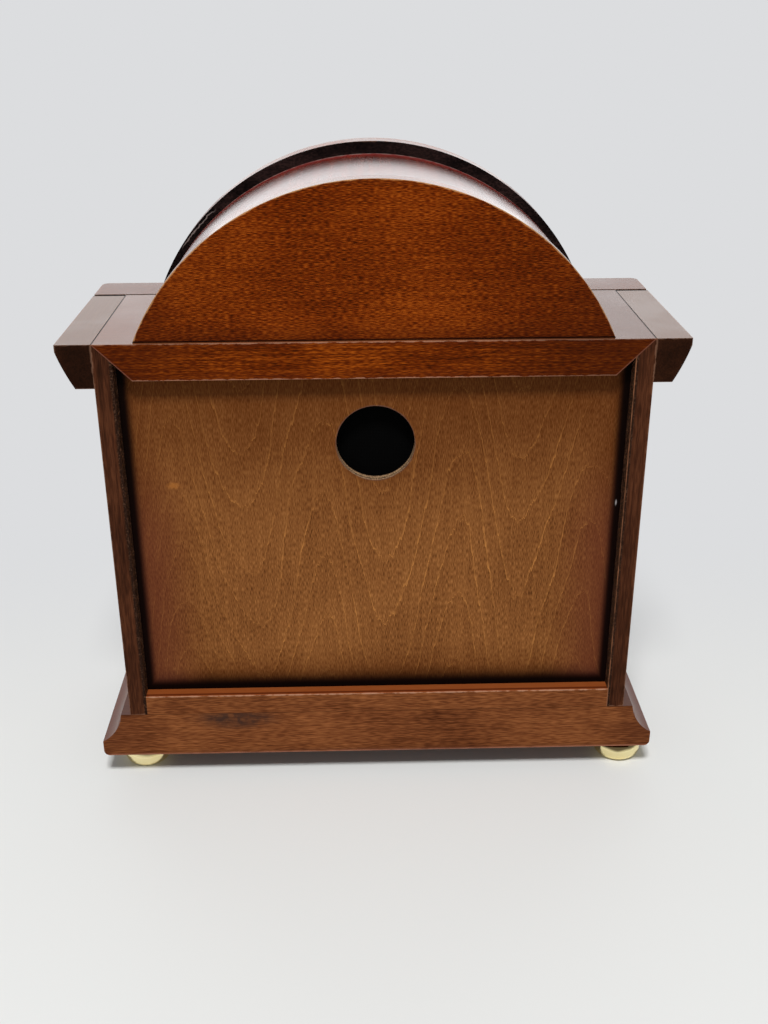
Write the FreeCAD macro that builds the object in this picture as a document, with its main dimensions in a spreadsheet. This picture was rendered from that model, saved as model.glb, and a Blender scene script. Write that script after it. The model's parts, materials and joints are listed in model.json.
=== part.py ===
import FreeCAD
import Part
import Sketcher

import math
import os
import re

# A cylinder music box in an arch-topped wooden case: millimetres, +Z up, the glazed door
# towards -Y, the origin on the table under the middle of the case.

sizes = {
    # Wooden case
    "foot_height": 14, "foot_radius": 12.7, "foot_neck_radius": 8, "foot_inset": 16.5,
    "foot_rim_height": 6, "foot_neck_height": 11, "foot_low_curve": 5.6, "foot_high_curve": 5.2,
    "rear_left_foot_out": 2.8, "rear_right_foot_in": 3,
    "case_depth": 120.5, "base_width": 292, "base_height": 25.4, "base_lip": 8.7, "base_round": 3,
    "cove_in": 11, "cove_radius": 21.6,
    "body_width": 260, "body_height": 200.4, "panel_thickness": 9, "upstand_height": 10.7,
    "top_thickness": 17.6, "top_gap": 1.5,
    "cornice_overhang": 16.6, "cornice_height": 21.1, "cornice_lip": 3.4, "cornice_taper": 7.7,
    "cornice_curve": 90, "cornice_corner": 4, "cornice_gap": 3,
    "front_thickness": 9, "front_projection": 16.5, "front_stile_width": 28,
    "bottom_rail_height": 18.6, "top_rail_height": 12.7,
    "back_recess": 7.3, "back_thickness": 5, "hole_radius": 19, "hole_drop": 52.6,
    "dome_radius": 121.5, "dome_drop": 49, "dome_set_in": 2, "dome_back_thickness": 10,
    "dome_lap": 1.6, "dome_shell_thickness": 5, "arch_proud": 4.5, "arch_spread": 0.9, "arch_width": 21,
    "arch_thickness": 4.2, "arch_lip": 5, "arch_edge": 1.5, "arch_curve": 40,
    "backdrop_thickness": 4, "backdrop_gap": 3, "backdrop_head": 12,
    "bearer_width": 20, "bearer_height": 20, "stage_thickness": 8, "stage_gap": 1,
    # Glazed door
    "door_gap": 0.6, "door_thickness": 8.7, "door_member": 18, "door_lip": 4,
    "glass_rebate": 5, "glass_thickness": 3, "glass_gap": 0.3,
    "hinge_end_gap": 20, "knuckle_length": 8, "knuckle_radius": 2.4, "knuckle_gap": 0.15,
    "hinge_pin_radius": 1.1, "leaf_width": 13, "leaf_thickness": 1.2, "pin_head": 0.9, "hinge_relief": 0.3,
    "knob_length": 14, "knob_radius": 6, "knob_stem_radius": 3, "knob_collar": 1.5, "knob_taper": 1,
    "knob_throat": 2, "knob_flat": 2,
    "magnet_length": 14, "magnet_depth": 8, "magnet_height": 24, "magnet_overlap": 5,
    # Musical movement
    "movement_offset": 10, "bed_thickness": 4, "bed_margin": 1,
    "bed_foot_height": 5, "bed_foot_radius": 5, "bed_foot_inset": 8,
    "axis_height": 22, "running_gap": 0.05, "side_gap": 1, "wheel_gap": 2, "cut_over": 1,
    "cylinder_radius": 17, "cylinder_margin": 4, "cylinder_wall": 1.5, "cylinder_back_gap": 3,
    "cap_thickness": 3, "pin_height": 1, "pin_width": 0.7, "pins_per_track": 3,
    "cylinder_arbor_radius": 2,
    "gear_module": 0.75, "gear_thickness": 3, "tooth_slack": 0.16, "leaf_overlap": 0.5,
    "great_teeth": 48, "pinion_teeth": 16, "wheel_teeth": 48, "leaf_teeth": 12,
    "crossing_count": 5, "crossing_radius": 3.6, "crossing_circle": 10,
    "bracket_thickness": 3, "bracket_half_width": 5.5, "bearing_thickness": 4, "bearing_gap": 2.5,
    "web_drop": 7.3,
    "barrel_radius": 16.5, "barrel_length": 28, "barrel_wall": 1.2, "barrel_arbor_radius": 3,
    "great_gap": 1.5, "spring_turns": 7, "spring_thickness": 0.6, "spring_gap": 0.25, "spring_eye": 1.5,
    "ratchet_radius": 9, "ratchet_depth": 1.6, "ratchet_teeth": 18, "ratchet_thickness": 2.5,
    "ratchet_gap": 0.5,
    "click_reach": 10.5, "click_rise": 1.5, "click_gap": 0.3, "click_stud_radius": 1.3, "click_lap": 2,
    "click_ear": 3, "click_eye_wall": 1.2, "click_root": 1.8, "click_nose": 0.6, "click_nose_rise": 0.4,
    "key_length": 10, "key_hub_radius": 5, "key_span": 14, "key_wing_radius": 4.5,
    "key_wing_thickness": 2.6,
    "comb_length": 100, "comb_thickness": 2.6, "comb_teeth": 40, "comb_slot": 0.8,
    "comb_tooth_thickness": 1.1, "comb_tip_gap": 0.25, "comb_back_depth": 8,
    "comb_bass_length": 15, "comb_treble_length": 9,
    "governor_arbor_radius": 1.2, "worm_wheel_module": 0.6, "worm_wheel_teeth": 24,
    "worm_wheel_thickness": 2.2, "worm_radius": 2.4, "worm_length": 9, "worm_slack": 0.34, "worm_gap": 2,
    "fly_arbor_radius": 1, "fly_radius": 6.5, "fly_height": 13, "fly_hub_radius": 2.2, "fly_gap": 2.5,
    "fly_side_gap": 1.5, "frame_gap": 5.5,
    "vane_thickness": 0.8, "collar_radius": 3, "collar_height": 2.4, "arm_thickness": 3,
    "arm_half_width": 4, "flange_length": 9,
    "stop_post_radius": 2.5, "stop_pin_radius": 1.3, "stop_handle": 22, "stop_width": 3,
    "stop_thickness": 1.5, "stop_gap": 0.25, "stop_knob_radius": 3, "stop_knob_height": 5,
    "stop_lift_gap": 0.4, "stop_pin_height": 2.4, "stop_eye_wall": 1.7,
    "screw_radius": 2.2, "screw_height": 1.5, "comb_screws": 5,
}

# Levels and places that several pieces share, each worked out from the sizes
levels = {
    "rear": "case_depth / 2",
    "front": "-case_depth / 2",
    "ledge": "foot_height + base_height",
    "floor_top": "ledge + upstand_height",
    "top": "ledge + body_height",
    "top_under": "top - top_thickness",
    "cornice_under": "top - cornice_height",
    "base_half": "base_width / 2",
    "lip_top": "foot_height + base_lip",
    "side_outer": "body_width / 2",
    "side_inner": "side_outer - panel_thickness",
    "cornice_outer": "side_outer + cornice_overhang",
    "front_face": "front + front_projection",
    "front_back": "front_face + front_thickness",
    "panel_rear": "rear - back_recess",
    "panel_front": "panel_rear - back_thickness",
    "backdrop_rear": "panel_front - backdrop_gap",
    "backdrop_front": "backdrop_rear - backdrop_thickness",
    "hole_z": "top - hole_drop",
    "dome_half": "sqrt(dome_radius ^ 2 - dome_drop ^ 2)",
    "shell_radius": "dome_radius - dome_lap",
    "shell_half": "sqrt(shell_radius ^ 2 - dome_drop ^ 2)",
    "shell_inner": "shell_radius - dome_shell_thickness",
    "shell_inner_half": "sqrt(shell_inner ^ 2 - dome_drop ^ 2)",
    "dome_rear": "rear - dome_set_in",
    "dome_mid": "dome_rear - dome_back_thickness",
    "arch_half": "dome_half + arch_spread",
    "arch_rise": "dome_radius - dome_drop + arch_proud",
    "arch_radius": "(arch_half ^ 2 + arch_rise ^ 2) / (2 * arch_rise)",
    "arch_z": "top + arch_rise - arch_radius",
    "arch_front": "front_face - arch_thickness",
    "opening_half": "side_outer - front_stile_width",
    "opening_low": "ledge + bottom_rail_height",
    "opening_high": "cornice_under - top_rail_height",
    "stage_top": "floor_top + bearer_height + stage_thickness",
    "door_half": "opening_half - door_gap",
    "door_low": "opening_low + door_gap",
    "door_high": "opening_high - door_gap",
    "door_back": "front_face + door_thickness",
    "glass_half": "door_half - door_member + glass_rebate",
    "glass_low": "door_low + door_member - glass_rebate",
    "glass_high": "door_high - door_member + glass_rebate",
    "glass_front": "front_face + door_lip",
    "glass_back": "glass_front + glass_thickness",
    "hinge_x": "-opening_half + door_gap / 2",
    "hinge_y": "front_face - knuckle_radius",
    "bed_under": "stage_top + bed_foot_height",
    "bed_top": "bed_under + bed_thickness",
    "bed_left": "bracket_left - bed_margin",
    "bed_right": "frame_right + flange_length + bed_margin",
    "bed_front": "comb_back - bed_margin",
    "bed_rear": "backdrop_front - bed_margin",
    "axis_z": "bed_top + axis_height",
    "cylinder_length": "comb_length + 2 * cylinder_margin",
    "cylinder_y": "backdrop_front - cylinder_back_gap - cylinder_radius - pin_height",
    "cylinder_left": "movement_offset - cylinder_length / 2",
    "cylinder_right": "movement_offset + cylinder_length / 2",
    "barrel_y": "cylinder_y - gear_module * (great_teeth + pinion_teeth) / 2",
    "barrel_inner_x": "cylinder_left - wheel_gap - bracket_thickness",
    "great_right": "barrel_inner_x - great_gap",
    "great_left": "great_right - gear_thickness",
    "barrel_left": "great_left - barrel_length",
    "bracket_right": "barrel_left - side_gap",
    "bracket_left": "bracket_right - bracket_thickness",
    "ratchet_right": "bracket_left - ratchet_gap",
    "ratchet_left": "ratchet_right - ratchet_thickness",
    "key_right": "ratchet_left - ratchet_gap",
    "key_left": "key_right - key_length",
    "bearing_right": "great_left - bearing_gap",
    "bearing_left": "bearing_right - bearing_thickness",
    "wheel_left": "cylinder_right + wheel_gap",
    "wheel_right": "wheel_left + gear_thickness",
    "plate_left": "wheel_right + wheel_gap",
    "plate_right": "plate_left + bracket_thickness",
    "governor_y": "cylinder_y - gear_module * (wheel_teeth + leaf_teeth) / 2",
    "worm_pitch_radius": "worm_wheel_module * worm_wheel_teeth / 2",
    "worm_y": "governor_y - worm_pitch_radius - worm_radius",
    "worm_x": "plate_right + fly_radius + fly_side_gap",
    "frame_left": "worm_x + fly_radius + frame_gap",
    "frame_right": "frame_left + bracket_thickness",
    "lower_arm": "axis_z - worm_length / 2 - worm_gap - arm_thickness",
    "fly_low": "axis_z + worm_pitch_radius + fly_gap",
    "fly_high": "fly_low + fly_height",
    "collar_top": "fly_high + collar_height",
    "upper_arm": "collar_top + side_gap",
    "click_y": "barrel_y - click_reach - click_lap",
    "click_z": "axis_z + ratchet_radius + click_gap + click_rise",
    "comb_tip": "cylinder_y - cylinder_radius - pin_height - comb_tip_gap",
    "comb_root": "comb_tip - comb_bass_length",
    "comb_back": "comb_root - comb_back_depth",
    "comb_left": "movement_offset - comb_length / 2",
    "stop_x": "cylinder_right + wheel_gap",
    "stop_low": "fly_high + stop_lift_gap",
}

doc = FreeCAD.newDocument("MusicBox")
sheet = doc.addObject("Spreadsheet::Sheet", "dims")
for row, (alias, size) in enumerate(sizes.items(), start=1):
    sheet.set(f"A{row}", alias)
    sheet.set(f"B{row}", str(size))
    sheet.setAlias(f"B{row}", alias)
doc.recompute()

Vector = FreeCAD.Vector
Rotation = FreeCAD.Rotation
upright = Rotation()
alongX = Rotation(Vector(1, 1, 1), 120)
alongY = Rotation(Vector(1, 0, 0), -90)
subParts = []


def formula(text):
    # Words for levels and sizes become formulas of the sheet's cells
    def swap(match):
        word = match.group(0)
        if word in levels:
            return "(" + formula(levels[word]) + ")"
        return "dims." + word if word in sizes else word
    return re.sub(r"[a-z_]+", swap, str(text))


def number(text):
    return float(sheet.evalExpression(formula(text)))


def bind(thing, **properties):
    for path, text in properties.items():
        thing.setExpression(path.replace("__", "."), formula(text))


def move(thing, x="0", y="0", z="0", turn=upright):
    thing.Placement = FreeCAD.Placement(Vector(), turn)
    bind(thing, Placement__Base__x=x, Placement__Base__y=y, Placement__Base__z=z)


def keep(thing, label):
    thing.Label = label
    subParts.append(thing)
    return thing


def box(name, x, y, z):
    made = doc.addObject("Part::Box", name)
    bind(made, Length=f"({x[1]}) - ({x[0]})", Width=f"({y[1]}) - ({y[0]})", Height=f"({z[1]}) - ({z[0]})")
    move(made, x[0], y[0], z[0])
    return made


def rod(name, axis, radius, ends, centre):
    # A round bar along one axis: centre holds the other two coordinates in their order
    made = doc.addObject("Part::Cylinder", name)
    bind(made, Radius=radius, Height=f"({ends[1]}) - ({ends[0]})")
    if axis == "x":
        move(made, ends[0], centre[0], centre[1], alongX)
    elif axis == "y":
        move(made, centre[0], ends[0], centre[1], alongY)
    else:
        move(made, centre[0], centre[1], ends[0])
    return made


def fuse(name, *shapes):
    made = doc.addObject("Part::MultiFuse", name)
    made.Shapes = list(shapes)
    made.Refine = True
    return made


def cut(name, base, *tools):
    made = doc.addObject("Part::Cut", name)
    made.Base = base
    made.Tool = tools[0] if len(tools) == 1 else fuse(name + "_tools", *tools)
    made.Refine = True
    return made


def common(name, first, second):
    made = doc.addObject("Part::Common", name)
    made.Base = first
    made.Tool = second
    made.Refine = True
    return made


def group(name, *shapes):
    made = doc.addObject("Part::Compound", name)
    made.Links = list(shapes)
    return made


def arcMiddle(start, end, radius):
    # The middle of a minor arc that bulges to the right of start-to-end for a positive radius
    chord = end - start
    half = chord.Length / 2
    sagitta = abs(radius) - math.sqrt(max(radius * radius - half * half, 0))
    side = Vector(chord.y, -chord.x, 0).normalize()
    return (start + end) * 0.5 + side * math.copysign(sagitta, radius)


def sketchOutline(body, planeRole, outline):
    # Each corner is (u, v), with a third text where an arc of that radius leads to the next corner
    plane = next(part for part in body.Origin.OriginFeatures if part.Role == planeRole)
    sketch = body.newObject("Sketcher::SketchObject", body.Name + "_outline")
    sketch.AttachmentSupport = (plane, [""])
    sketch.MapMode = "FlatFace"
    corners = [Vector(number(corner[0]), number(corner[1]), 0) for corner in outline]
    for index, corner in enumerate(outline):
        start = corners[index]
        end = corners[(index + 1) % len(corners)]
        if len(corner) == 3:
            sketch.addGeometry(Part.Arc(start, arcMiddle(start, end, number(corner[2])), end), False)
        else:
            sketch.addGeometry(Part.LineSegment(start, end), False)
    ends = []
    for index, start in enumerate(corners):
        forward = sketch.getPoint(index, 1).isEqual(start, 1e-6)
        ends.append((1, 2) if forward else (2, 1))
    for index in range(len(corners)):
        following = (index + 1) % len(corners)
        sketch.addConstraint(
            Sketcher.Constraint("Coincident", index, ends[index][1], following, ends[following][0])
        )
    for index, corner in enumerate(outline):
        for way, text in (("X", corner[0]), ("Y", corner[1])):
            nth = sketch.addConstraint(
                Sketcher.Constraint("Distance" + way, -1, 1, index, ends[index][0], number(text))
            )
            sketch.renameConstraint(nth, f"corner{way}{index}")
            sketch.setExpression(f"Constraints.corner{way}{index}", formula(text))
        if len(corner) == 3:
            nth = sketch.addConstraint(Sketcher.Constraint("Radius", index, abs(number(corner[2]))))
            sketch.renameConstraint(nth, f"radius{index}")
            sketch.setExpression(f"Constraints.radius{index}", formula(f"abs({corner[2]})"))
    return sketch


def prism(name, axis, ends, outline):
    body = doc.addObject("PartDesign::Body", name)
    role = {"x": "YZ_Plane", "y": "XZ_Plane", "z": "XY_Plane"}[axis]
    pad = body.newObject("PartDesign::Pad", name + "_pad")
    pad.Profile = sketchOutline(body, role, outline)
    bind(pad, Length=f"({ends[1]}) - ({ends[0]})")
    start = ends[1] if axis == "y" else ends[0]
    body.setExpression(f"Placement.Base.{axis}", formula(start))
    body.Tip = pad
    return body


def lathe(name, outline, role="XZ_Plane", axis="V_Axis"):
    body = doc.addObject("PartDesign::Body", name)
    turned = body.newObject("PartDesign::Revolution", name + "_turned")
    sketch = sketchOutline(body, role, outline)
    turned.Profile = sketch
    turned.ReferenceAxis = (sketch, [axis])
    turned.Angle = 360
    body.Tip = turned
    return body


def feature(name, shape, x="0", y="0", z="0", turn=upright):
    made = doc.addObject("Part::Feature", name)
    made.Shape = shape
    move(made, x, y, z, turn)
    return made


def extruded(points, height):
    corners = [Vector(*point, 0) for point in points]
    return Part.Face(Part.makePolygon(corners + corners[:1])).extrude(Vector(0, 0, height))


def mirrored(sign, text):
    return text if sign > 0 else f"-({text})"


sides = {"left": -1, "right": 1}


# Base and body of the case

def makeBase():
    across = prism("base_ends", "y", ("front", "rear"), [
        ("base_round - base_half", "foot_height"),
        ("base_half - base_round", "foot_height", "base_round"),
        ("base_half", "foot_height + base_round"),
        ("base_half", "lip_top", "-cove_radius"),
        ("base_half - cove_in", "ledge"),
        ("cove_in - base_half", "ledge", "-cove_radius"),
        ("-base_half", "lip_top"),
        ("-base_half", "foot_height + base_round", "base_round"),
    ])
    along = prism("base_run", "x", ("-base_half", "base_half"), [
        ("rear", "foot_height"),
        ("rear", "ledge"),
        ("front + cove_in", "ledge", "-cove_radius"),
        ("front", "lip_top"),
        ("front", "foot_height + base_round", "base_round"),
        ("front + base_round", "foot_height"),
    ])
    keep(common("base_plinth", across, along), "base_plinth")
    keep(
        box("bottom_board", ("-side_inner", "side_inner"), ("front_back", "rear"), ("ledge", "floor_top")),
        "bottom_board",
    )


def makeFeet():
    # The rear feet were not set square: one stands further out, and the other further in both ways
    strays = {"rear_left_foot": (" + rear_left_foot_out", ""),
              "rear_right_foot": (" - rear_right_foot_in", " - rear_right_foot_in")}
    for across, signX in sides.items():
        for along, signY in (("front", -1), ("rear", 1)):
            name = f"{along}_{across}_foot"
            foot = lathe(name, [
                ("0", "0"),
                ("foot_neck_radius", "0", "foot_low_curve"),
                ("foot_radius", "foot_rim_height", "foot_high_curve"),
                ("foot_neck_radius", "foot_neck_height"),
                ("foot_neck_radius", "foot_height"),
                ("0", "foot_height"),
            ])
            strayX, strayY = strays.get(name, ("", ""))
            move(
                foot,
                mirrored(signX, "base_half - foot_inset" + strayX),
                mirrored(signY, "rear - foot_inset" + strayY),
            )
            keep(foot, name)


def makeBody():
    for across, sign in sides.items():
        keep(prism(f"{across}_side_panel", "y", ("front_back", "rear"), [
            (mirrored(sign, "side_inner"), "ledge"),
            (mirrored(sign, "side_outer"), "ledge"),
            (mirrored(sign, "side_outer"), "top"),
            (mirrored(sign, "side_inner"), "top - panel_thickness"),
        ]), f"{across}_side_panel")
        keep(prism(f"{across}_cornice", "y", ("front_back + cornice_gap", "rear"), [
            (mirrored(sign, "side_outer"), "cornice_under"),
            (
                mirrored(sign, "cornice_outer - cornice_taper"), "cornice_under",
                mirrored(sign, "cornice_curve"),
            ),
            (mirrored(sign, "cornice_outer"), "top - cornice_lip"),
            (mirrored(sign, "cornice_outer"), "top"),
            (mirrored(sign, "side_outer"), "top"),
        ]), f"{across}_cornice")
    keep(prism("top_board", "y", ("front_back + top_gap", "rear"), [
        ("top_thickness - side_outer", "top_under"),
        ("side_outer - top_thickness", "top_under"),
        ("side_outer", "top"),
        ("-side_outer", "top"),
    ]), "top_board")
    panel = prism("back_blank", "y", ("panel_front", "panel_rear"), [
        ("-side_inner", "floor_top"),
        ("side_inner", "floor_top"),
        ("side_inner", "top - panel_thickness"),
        ("side_outer - top_thickness", "top_under"),
        ("top_thickness - side_outer", "top_under"),
        ("-side_inner", "top - panel_thickness"),
    ])
    through = ("panel_front - cut_over", "panel_rear + cut_over")
    hole = rod("back_hole", "y", "hole_radius", through, ("0", "hole_z"))
    keep(cut("back_panel", panel, hole), "back_panel")
    keep(box(
        "backdrop", ("-side_inner", "side_inner"), ("backdrop_front", "backdrop_rear"),
        ("floor_top", "top_under - backdrop_head"),
    ), "backdrop")


def makeDome():
    keep(prism("dome_back", "y", ("dome_mid", "dome_rear"), [
        ("-dome_half", "top"),
        ("dome_half", "top", "dome_radius"),
    ]), "dome_back")
    keep(prism("dome_shell", "y", ("front_back", "dome_mid"), [
        ("shell_half", "top", "shell_radius"),
        ("-shell_half", "top"),
        ("-shell_inner_half", "top", "-shell_inner"),
        ("shell_inner_half", "top"),
    ]), "dome_shell")


def makeFront():
    keep(prism("front_tympanum", "y", ("front_face", "front_back"), [
        ("-opening_half", "opening_high"),
        ("opening_half", "opening_high"),
        ("opening_half", "cornice_under"),
        ("arch_half", "cornice_under"),
        ("arch_half", "top", "arch_radius"),
        ("-arch_half", "top"),
        ("-arch_half", "cornice_under"),
        ("-opening_half", "cornice_under"),
    ]), "front_tympanum")
    ring = lathe("arch_ring", [
        ("front_face", "arch_radius - arch_width"),
        ("front_face", "arch_radius"),
        ("arch_front", "arch_radius"),
        ("arch_front", "arch_radius - arch_lip", "-arch_curve"),
        ("front_face - arch_edge", "arch_radius - arch_width"),
    ], "YZ_Plane", "H_Axis")
    move(ring, z="arch_z")
    below = box(
        "below_arch", ("-2 * arch_radius", "2 * arch_radius"), ("2 * front", "0"),
        ("arch_z - 2 * arch_radius", "top"),
    )
    keep(cut("arch_moulding", ring, below), "arch_moulding")
    along = prism("cornice_run", "x", ("-cornice_outer", "cornice_outer"), [
        ("front_back", "cornice_under"),
        ("front_back", "top"),
        ("front", "top"),
        ("front", "top - cornice_lip", "cornice_curve"),
        ("front + cornice_taper", "cornice_under"),
    ])
    across = prism("cornice_returns", "y", ("front", "front_back"), [
        ("cornice_taper - cornice_outer", "cornice_under"),
        ("cornice_outer - cornice_taper", "cornice_under", "cornice_curve"),
        ("cornice_outer", "top - cornice_lip"),
        ("cornice_outer", "top"),
        ("-cornice_outer", "top"),
        ("-cornice_outer", "top - cornice_lip", "cornice_curve"),
    ])
    plan = prism("cornice_plan", "z", ("cornice_under", "top"), [
        ("-cornice_outer", "front_back"),
        ("-cornice_outer", "front + cornice_corner", "cornice_corner"),
        ("cornice_corner - cornice_outer", "front"),
        ("cornice_outer - cornice_corner", "front", "cornice_corner"),
        ("cornice_outer", "front + cornice_corner"),
        ("cornice_outer", "front_back"),
    ])
    rounded = common("cornice_rounded", common("cornice_mitred", along, across), plan)
    notch = box(
        "tympanum_notch", ("-arch_half", "arch_half"), ("front_face", "front_back"), ("cornice_under", "top"),
    )
    keep(cut("front_cornice", rounded, notch), "front_cornice")
    for side, sign in sides.items():
        edges = ("opening_half", "side_outer") if sign > 0 else ("-side_outer", "-opening_half")
        keep(
            box(f"front_{side}_stile", edges, ("front_face", "front_back"), ("ledge", "cornice_under")),
            f"front_{side}_stile",
        )
    keep(box(
        "front_bottom_rail", ("-opening_half", "opening_half"), ("front_face", "front_back"),
        ("ledge", "opening_low"),
    ), "front_bottom_rail")


def makeStage():
    depth = ("front_back + stage_gap", "backdrop_front - stage_gap")
    rise = ("floor_top", "floor_top + bearer_height")
    left = box("left_bearer", ("-side_inner", "bearer_width - side_inner"), depth, rise)
    right = box("right_bearer", ("side_inner - bearer_width", "side_inner"), depth, rise)
    keep(group("stage_bearers", left, right), "stage_bearers")
    keep(box(
        "stage_board", ("stage_gap - side_inner", "side_inner - stage_gap"), depth,
        ("stage_top - stage_thickness", "stage_top"),
    ), "stage_board")


# Glazed door, hung on the left

def makeDoor():
    for side, sign in sides.items():
        keep(prism(f"door_{side}_stile", "z", ("door_low", "door_high"), [
            (mirrored(sign, "door_half - door_member"), "front_face"),
            (mirrored(sign, "door_half"), "front_face"),
            (mirrored(sign, "door_half"), "door_back"),
            (mirrored(sign, "glass_half"), "door_back"),
            (mirrored(sign, "glass_half"), "glass_front"),
            (mirrored(sign, "door_half - door_member"), "glass_front"),
        ]), f"door_{side}_stile")
    rails = {
        "bottom": ("door_low", "glass_low", "door_low + door_member"),
        "top": ("door_high", "glass_high", "door_high - door_member"),
    }
    for place, (edge, rebate, inner) in rails.items():
        keep(prism(
            f"door_{place}_rail", "x", ("door_member - door_half", "door_half - door_member"), [
                ("front_face", edge),
                ("front_face", inner),
                ("glass_front", inner),
                ("glass_front", rebate),
                ("door_back", rebate),
                ("door_back", edge),
            ],
        ), f"door_{place}_rail")
    keep(box(
        "door_glass", ("glass_gap - glass_half", "glass_half - glass_gap"), ("glass_front", "glass_back"),
        ("glass_low + glass_gap", "glass_high - glass_gap"),
    ), "door_glass")
    deep = ("glass_back", "door_back")
    beads = [
        box("left_bead", ("-glass_half", "glass_rebate - glass_half"), deep, ("glass_low", "glass_high")),
        box("right_bead", ("glass_half - glass_rebate", "glass_half"), deep, ("glass_low", "glass_high")),
    ]
    between = ("glass_rebate - glass_half", "glass_half - glass_rebate")
    beads.append(box("low_bead", between, deep, ("glass_low", "glass_low + glass_rebate")))
    beads.append(box("high_bead", between, deep, ("glass_high - glass_rebate", "glass_high")))
    keep(group("glass_beads", *beads), "glass_beads")
    knob = lathe("door_knob", [
        ("0", "0"),
        ("knob_stem_radius + knob_collar", "0"),
        ("knob_stem_radius + knob_collar", "knob_collar"),
        ("knob_stem_radius", "knob_collar + knob_taper"),
        ("knob_stem_radius", "knob_length - knob_radius - knob_throat", "knob_radius"),
        ("knob_radius", "knob_length - knob_radius / 2", "knob_radius"),
        ("knob_flat", "knob_length"),
        ("0", "knob_length"),
    ])
    move(
        knob, "door_half - door_member / 2", "front_face", "(door_low + door_high) / 2",
        Rotation(Vector(1, 0, 0), 90),
    )
    keep(knob, "door_knob")
    keep(box(
        "catch_magnet",
        ("opening_half - magnet_overlap", "opening_half - magnet_overlap + magnet_length"),
        ("front_back", "front_back + magnet_depth"),
        ("(door_low + door_high - magnet_height) / 2", "(door_low + door_high + magnet_height) / 2"),
    ), "catch_magnet")


def makeHinges():
    caseLeaves = []
    doorLeaves = []
    pins = []
    lows = {"lower": "door_low + hinge_end_gap", "upper": "door_high - hinge_end_gap - 3 * knuckle_length"}
    flat = ("front_face - leaf_thickness", "front_face")
    at = ("hinge_x", "hinge_y")
    for place, low in lows.items():
        middle = (f"{low} + knuckle_length", f"{low} + 2 * knuckle_length")
        high = f"{low} + 3 * knuckle_length"
        gapped = (f"{middle[0]} + knuckle_gap", f"{middle[1]} - knuckle_gap")
        caseLeaf = box(f"{place}_case_leaf", ("hinge_x - leaf_width", "hinge_x"), flat, (low, high))
        caseBarrel = rod(f"{place}_case_barrel", "z", "knuckle_radius", (low, high), at)
        caseBore = rod(f"{place}_case_bore", "z", "hinge_pin_radius + running_gap", (low, high), at)
        slot = box(
            f"{place}_slot", ("hinge_x - knuckle_radius - hinge_relief", "hinge_x + 2 * knuckle_radius"),
            ("hinge_y - 2 * knuckle_radius", "front_face"), middle,
        )
        caseLeaves.append(cut(
            f"{place}_case_hinge", fuse(f"{place}_case_plate", caseLeaf, caseBarrel), caseBore, slot,
        ))
        across = ("hinge_x + door_gap / 2", "hinge_x + leaf_width")
        doorLeaf = box(f"{place}_door_leaf", across, flat, (low, high))
        relief = rod(f"{place}_relief", "z", "knuckle_radius + hinge_relief", (low, high), at)
        doorTab = box(f"{place}_door_tab", ("hinge_x", "hinge_x + 2 * knuckle_radius"), flat, gapped)
        doorBarrel = rod(f"{place}_door_barrel", "z", "knuckle_radius", gapped, at)
        doorBore = rod(f"{place}_door_bore", "z", "hinge_pin_radius + running_gap", (low, high), at)
        trimmed = cut(f"{place}_door_plate", doorLeaf, relief)
        doorLeaves.append(cut(
            f"{place}_door_hinge", fuse(f"{place}_door_whole", trimmed, doorTab, doorBarrel), doorBore,
        ))
        shank = rod(f"{place}_shank", "z", "hinge_pin_radius", (low, high), at)
        head = rod(f"{place}_head", "z", "knuckle_radius - hinge_relief", (high, f"{high} + pin_head"), at)
        pins.append(fuse(f"{place}_hinge_pin", shank, head))
    keep(group("hinge_case_leaves", *caseLeaves), "hinge_case_leaves")
    keep(group("hinge_door_leaves", *doorLeaves), "hinge_door_leaves")
    keep(group("hinge_pins", *pins), "hinge_pins")


# Musical movement

# Shares of a gear's module: short tips and deep roots, and where each flank leaves its root
pressureAngle = math.radians(20)
toothTip, toothRoot, toothEase = 0.85, 1.15, 0.05
wormTip, wormRoot, wormSink = 0.8, 1.1, 0.3
threadSteps = 12
# Shares of a ratchet tooth's turn at which its ramp starts and ends
rampStart, rampEnd = 0.02, 0.9


def gearShape(teeth, module, thickness, slack, firstTooth):
    # Involute spur gear, 20 degree pressure angle, one tooth centred on the angle firstTooth;
    # slack is taken off each tooth's width for backlash, and short tips keep small pinions clear
    pitch = module * teeth / 2
    base = pitch * math.cos(pressureAngle)
    tip = pitch + toothTip * module
    root = pitch - toothRoot * module
    halfPitch = (math.pi * module / 2 - slack) / (2 * pitch)
    pitchInvolute = math.tan(pressureAngle) - pressureAngle

    def halfAngle(radius):
        turned = math.acos(min(1, base / max(radius, base)))
        return halfPitch + pitchInvolute - (math.tan(turned) - turned)

    flank = [root, max(root + toothEase * module, base), pitch, tip]
    points = []
    for tooth in range(teeth):
        middle = firstTooth + 2 * math.pi * tooth / teeth
        for side, radii in ((-1, flank), (1, flank[::-1])):
            for radius in radii:
                angle = middle + side * halfAngle(radius)
                points.append((radius * math.cos(angle), radius * math.sin(angle)))
    return extruded(points, thickness)


def gear(name, teethName, moduleName, slackName, ends, y, firstTooth):
    shape = gearShape(
        round(number(teethName)), number(moduleName), number(f"({ends[1]}) - ({ends[0]})"),
        number(slackName), firstTooth,
    )
    return feature(name, shape, ends[0], y, "axis_z", alongX)


def post(name, ends, y, halfWidth, boreRadius):
    # A bearing post with a rounded head, bored for an arbor at the axis height
    stem = box(name + "_stem", ends, (f"{y} - {halfWidth}", f"{y} + {halfWidth}"), ("bed_top", "axis_z"))
    head = rod(name + "_head", "x", halfWidth, ends, (y, "axis_z"))
    bore = rod(name + "_bore", "x", boreRadius, ends, (y, "axis_z"))
    return fuse(name + "_solid", stem, head), bore


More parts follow.
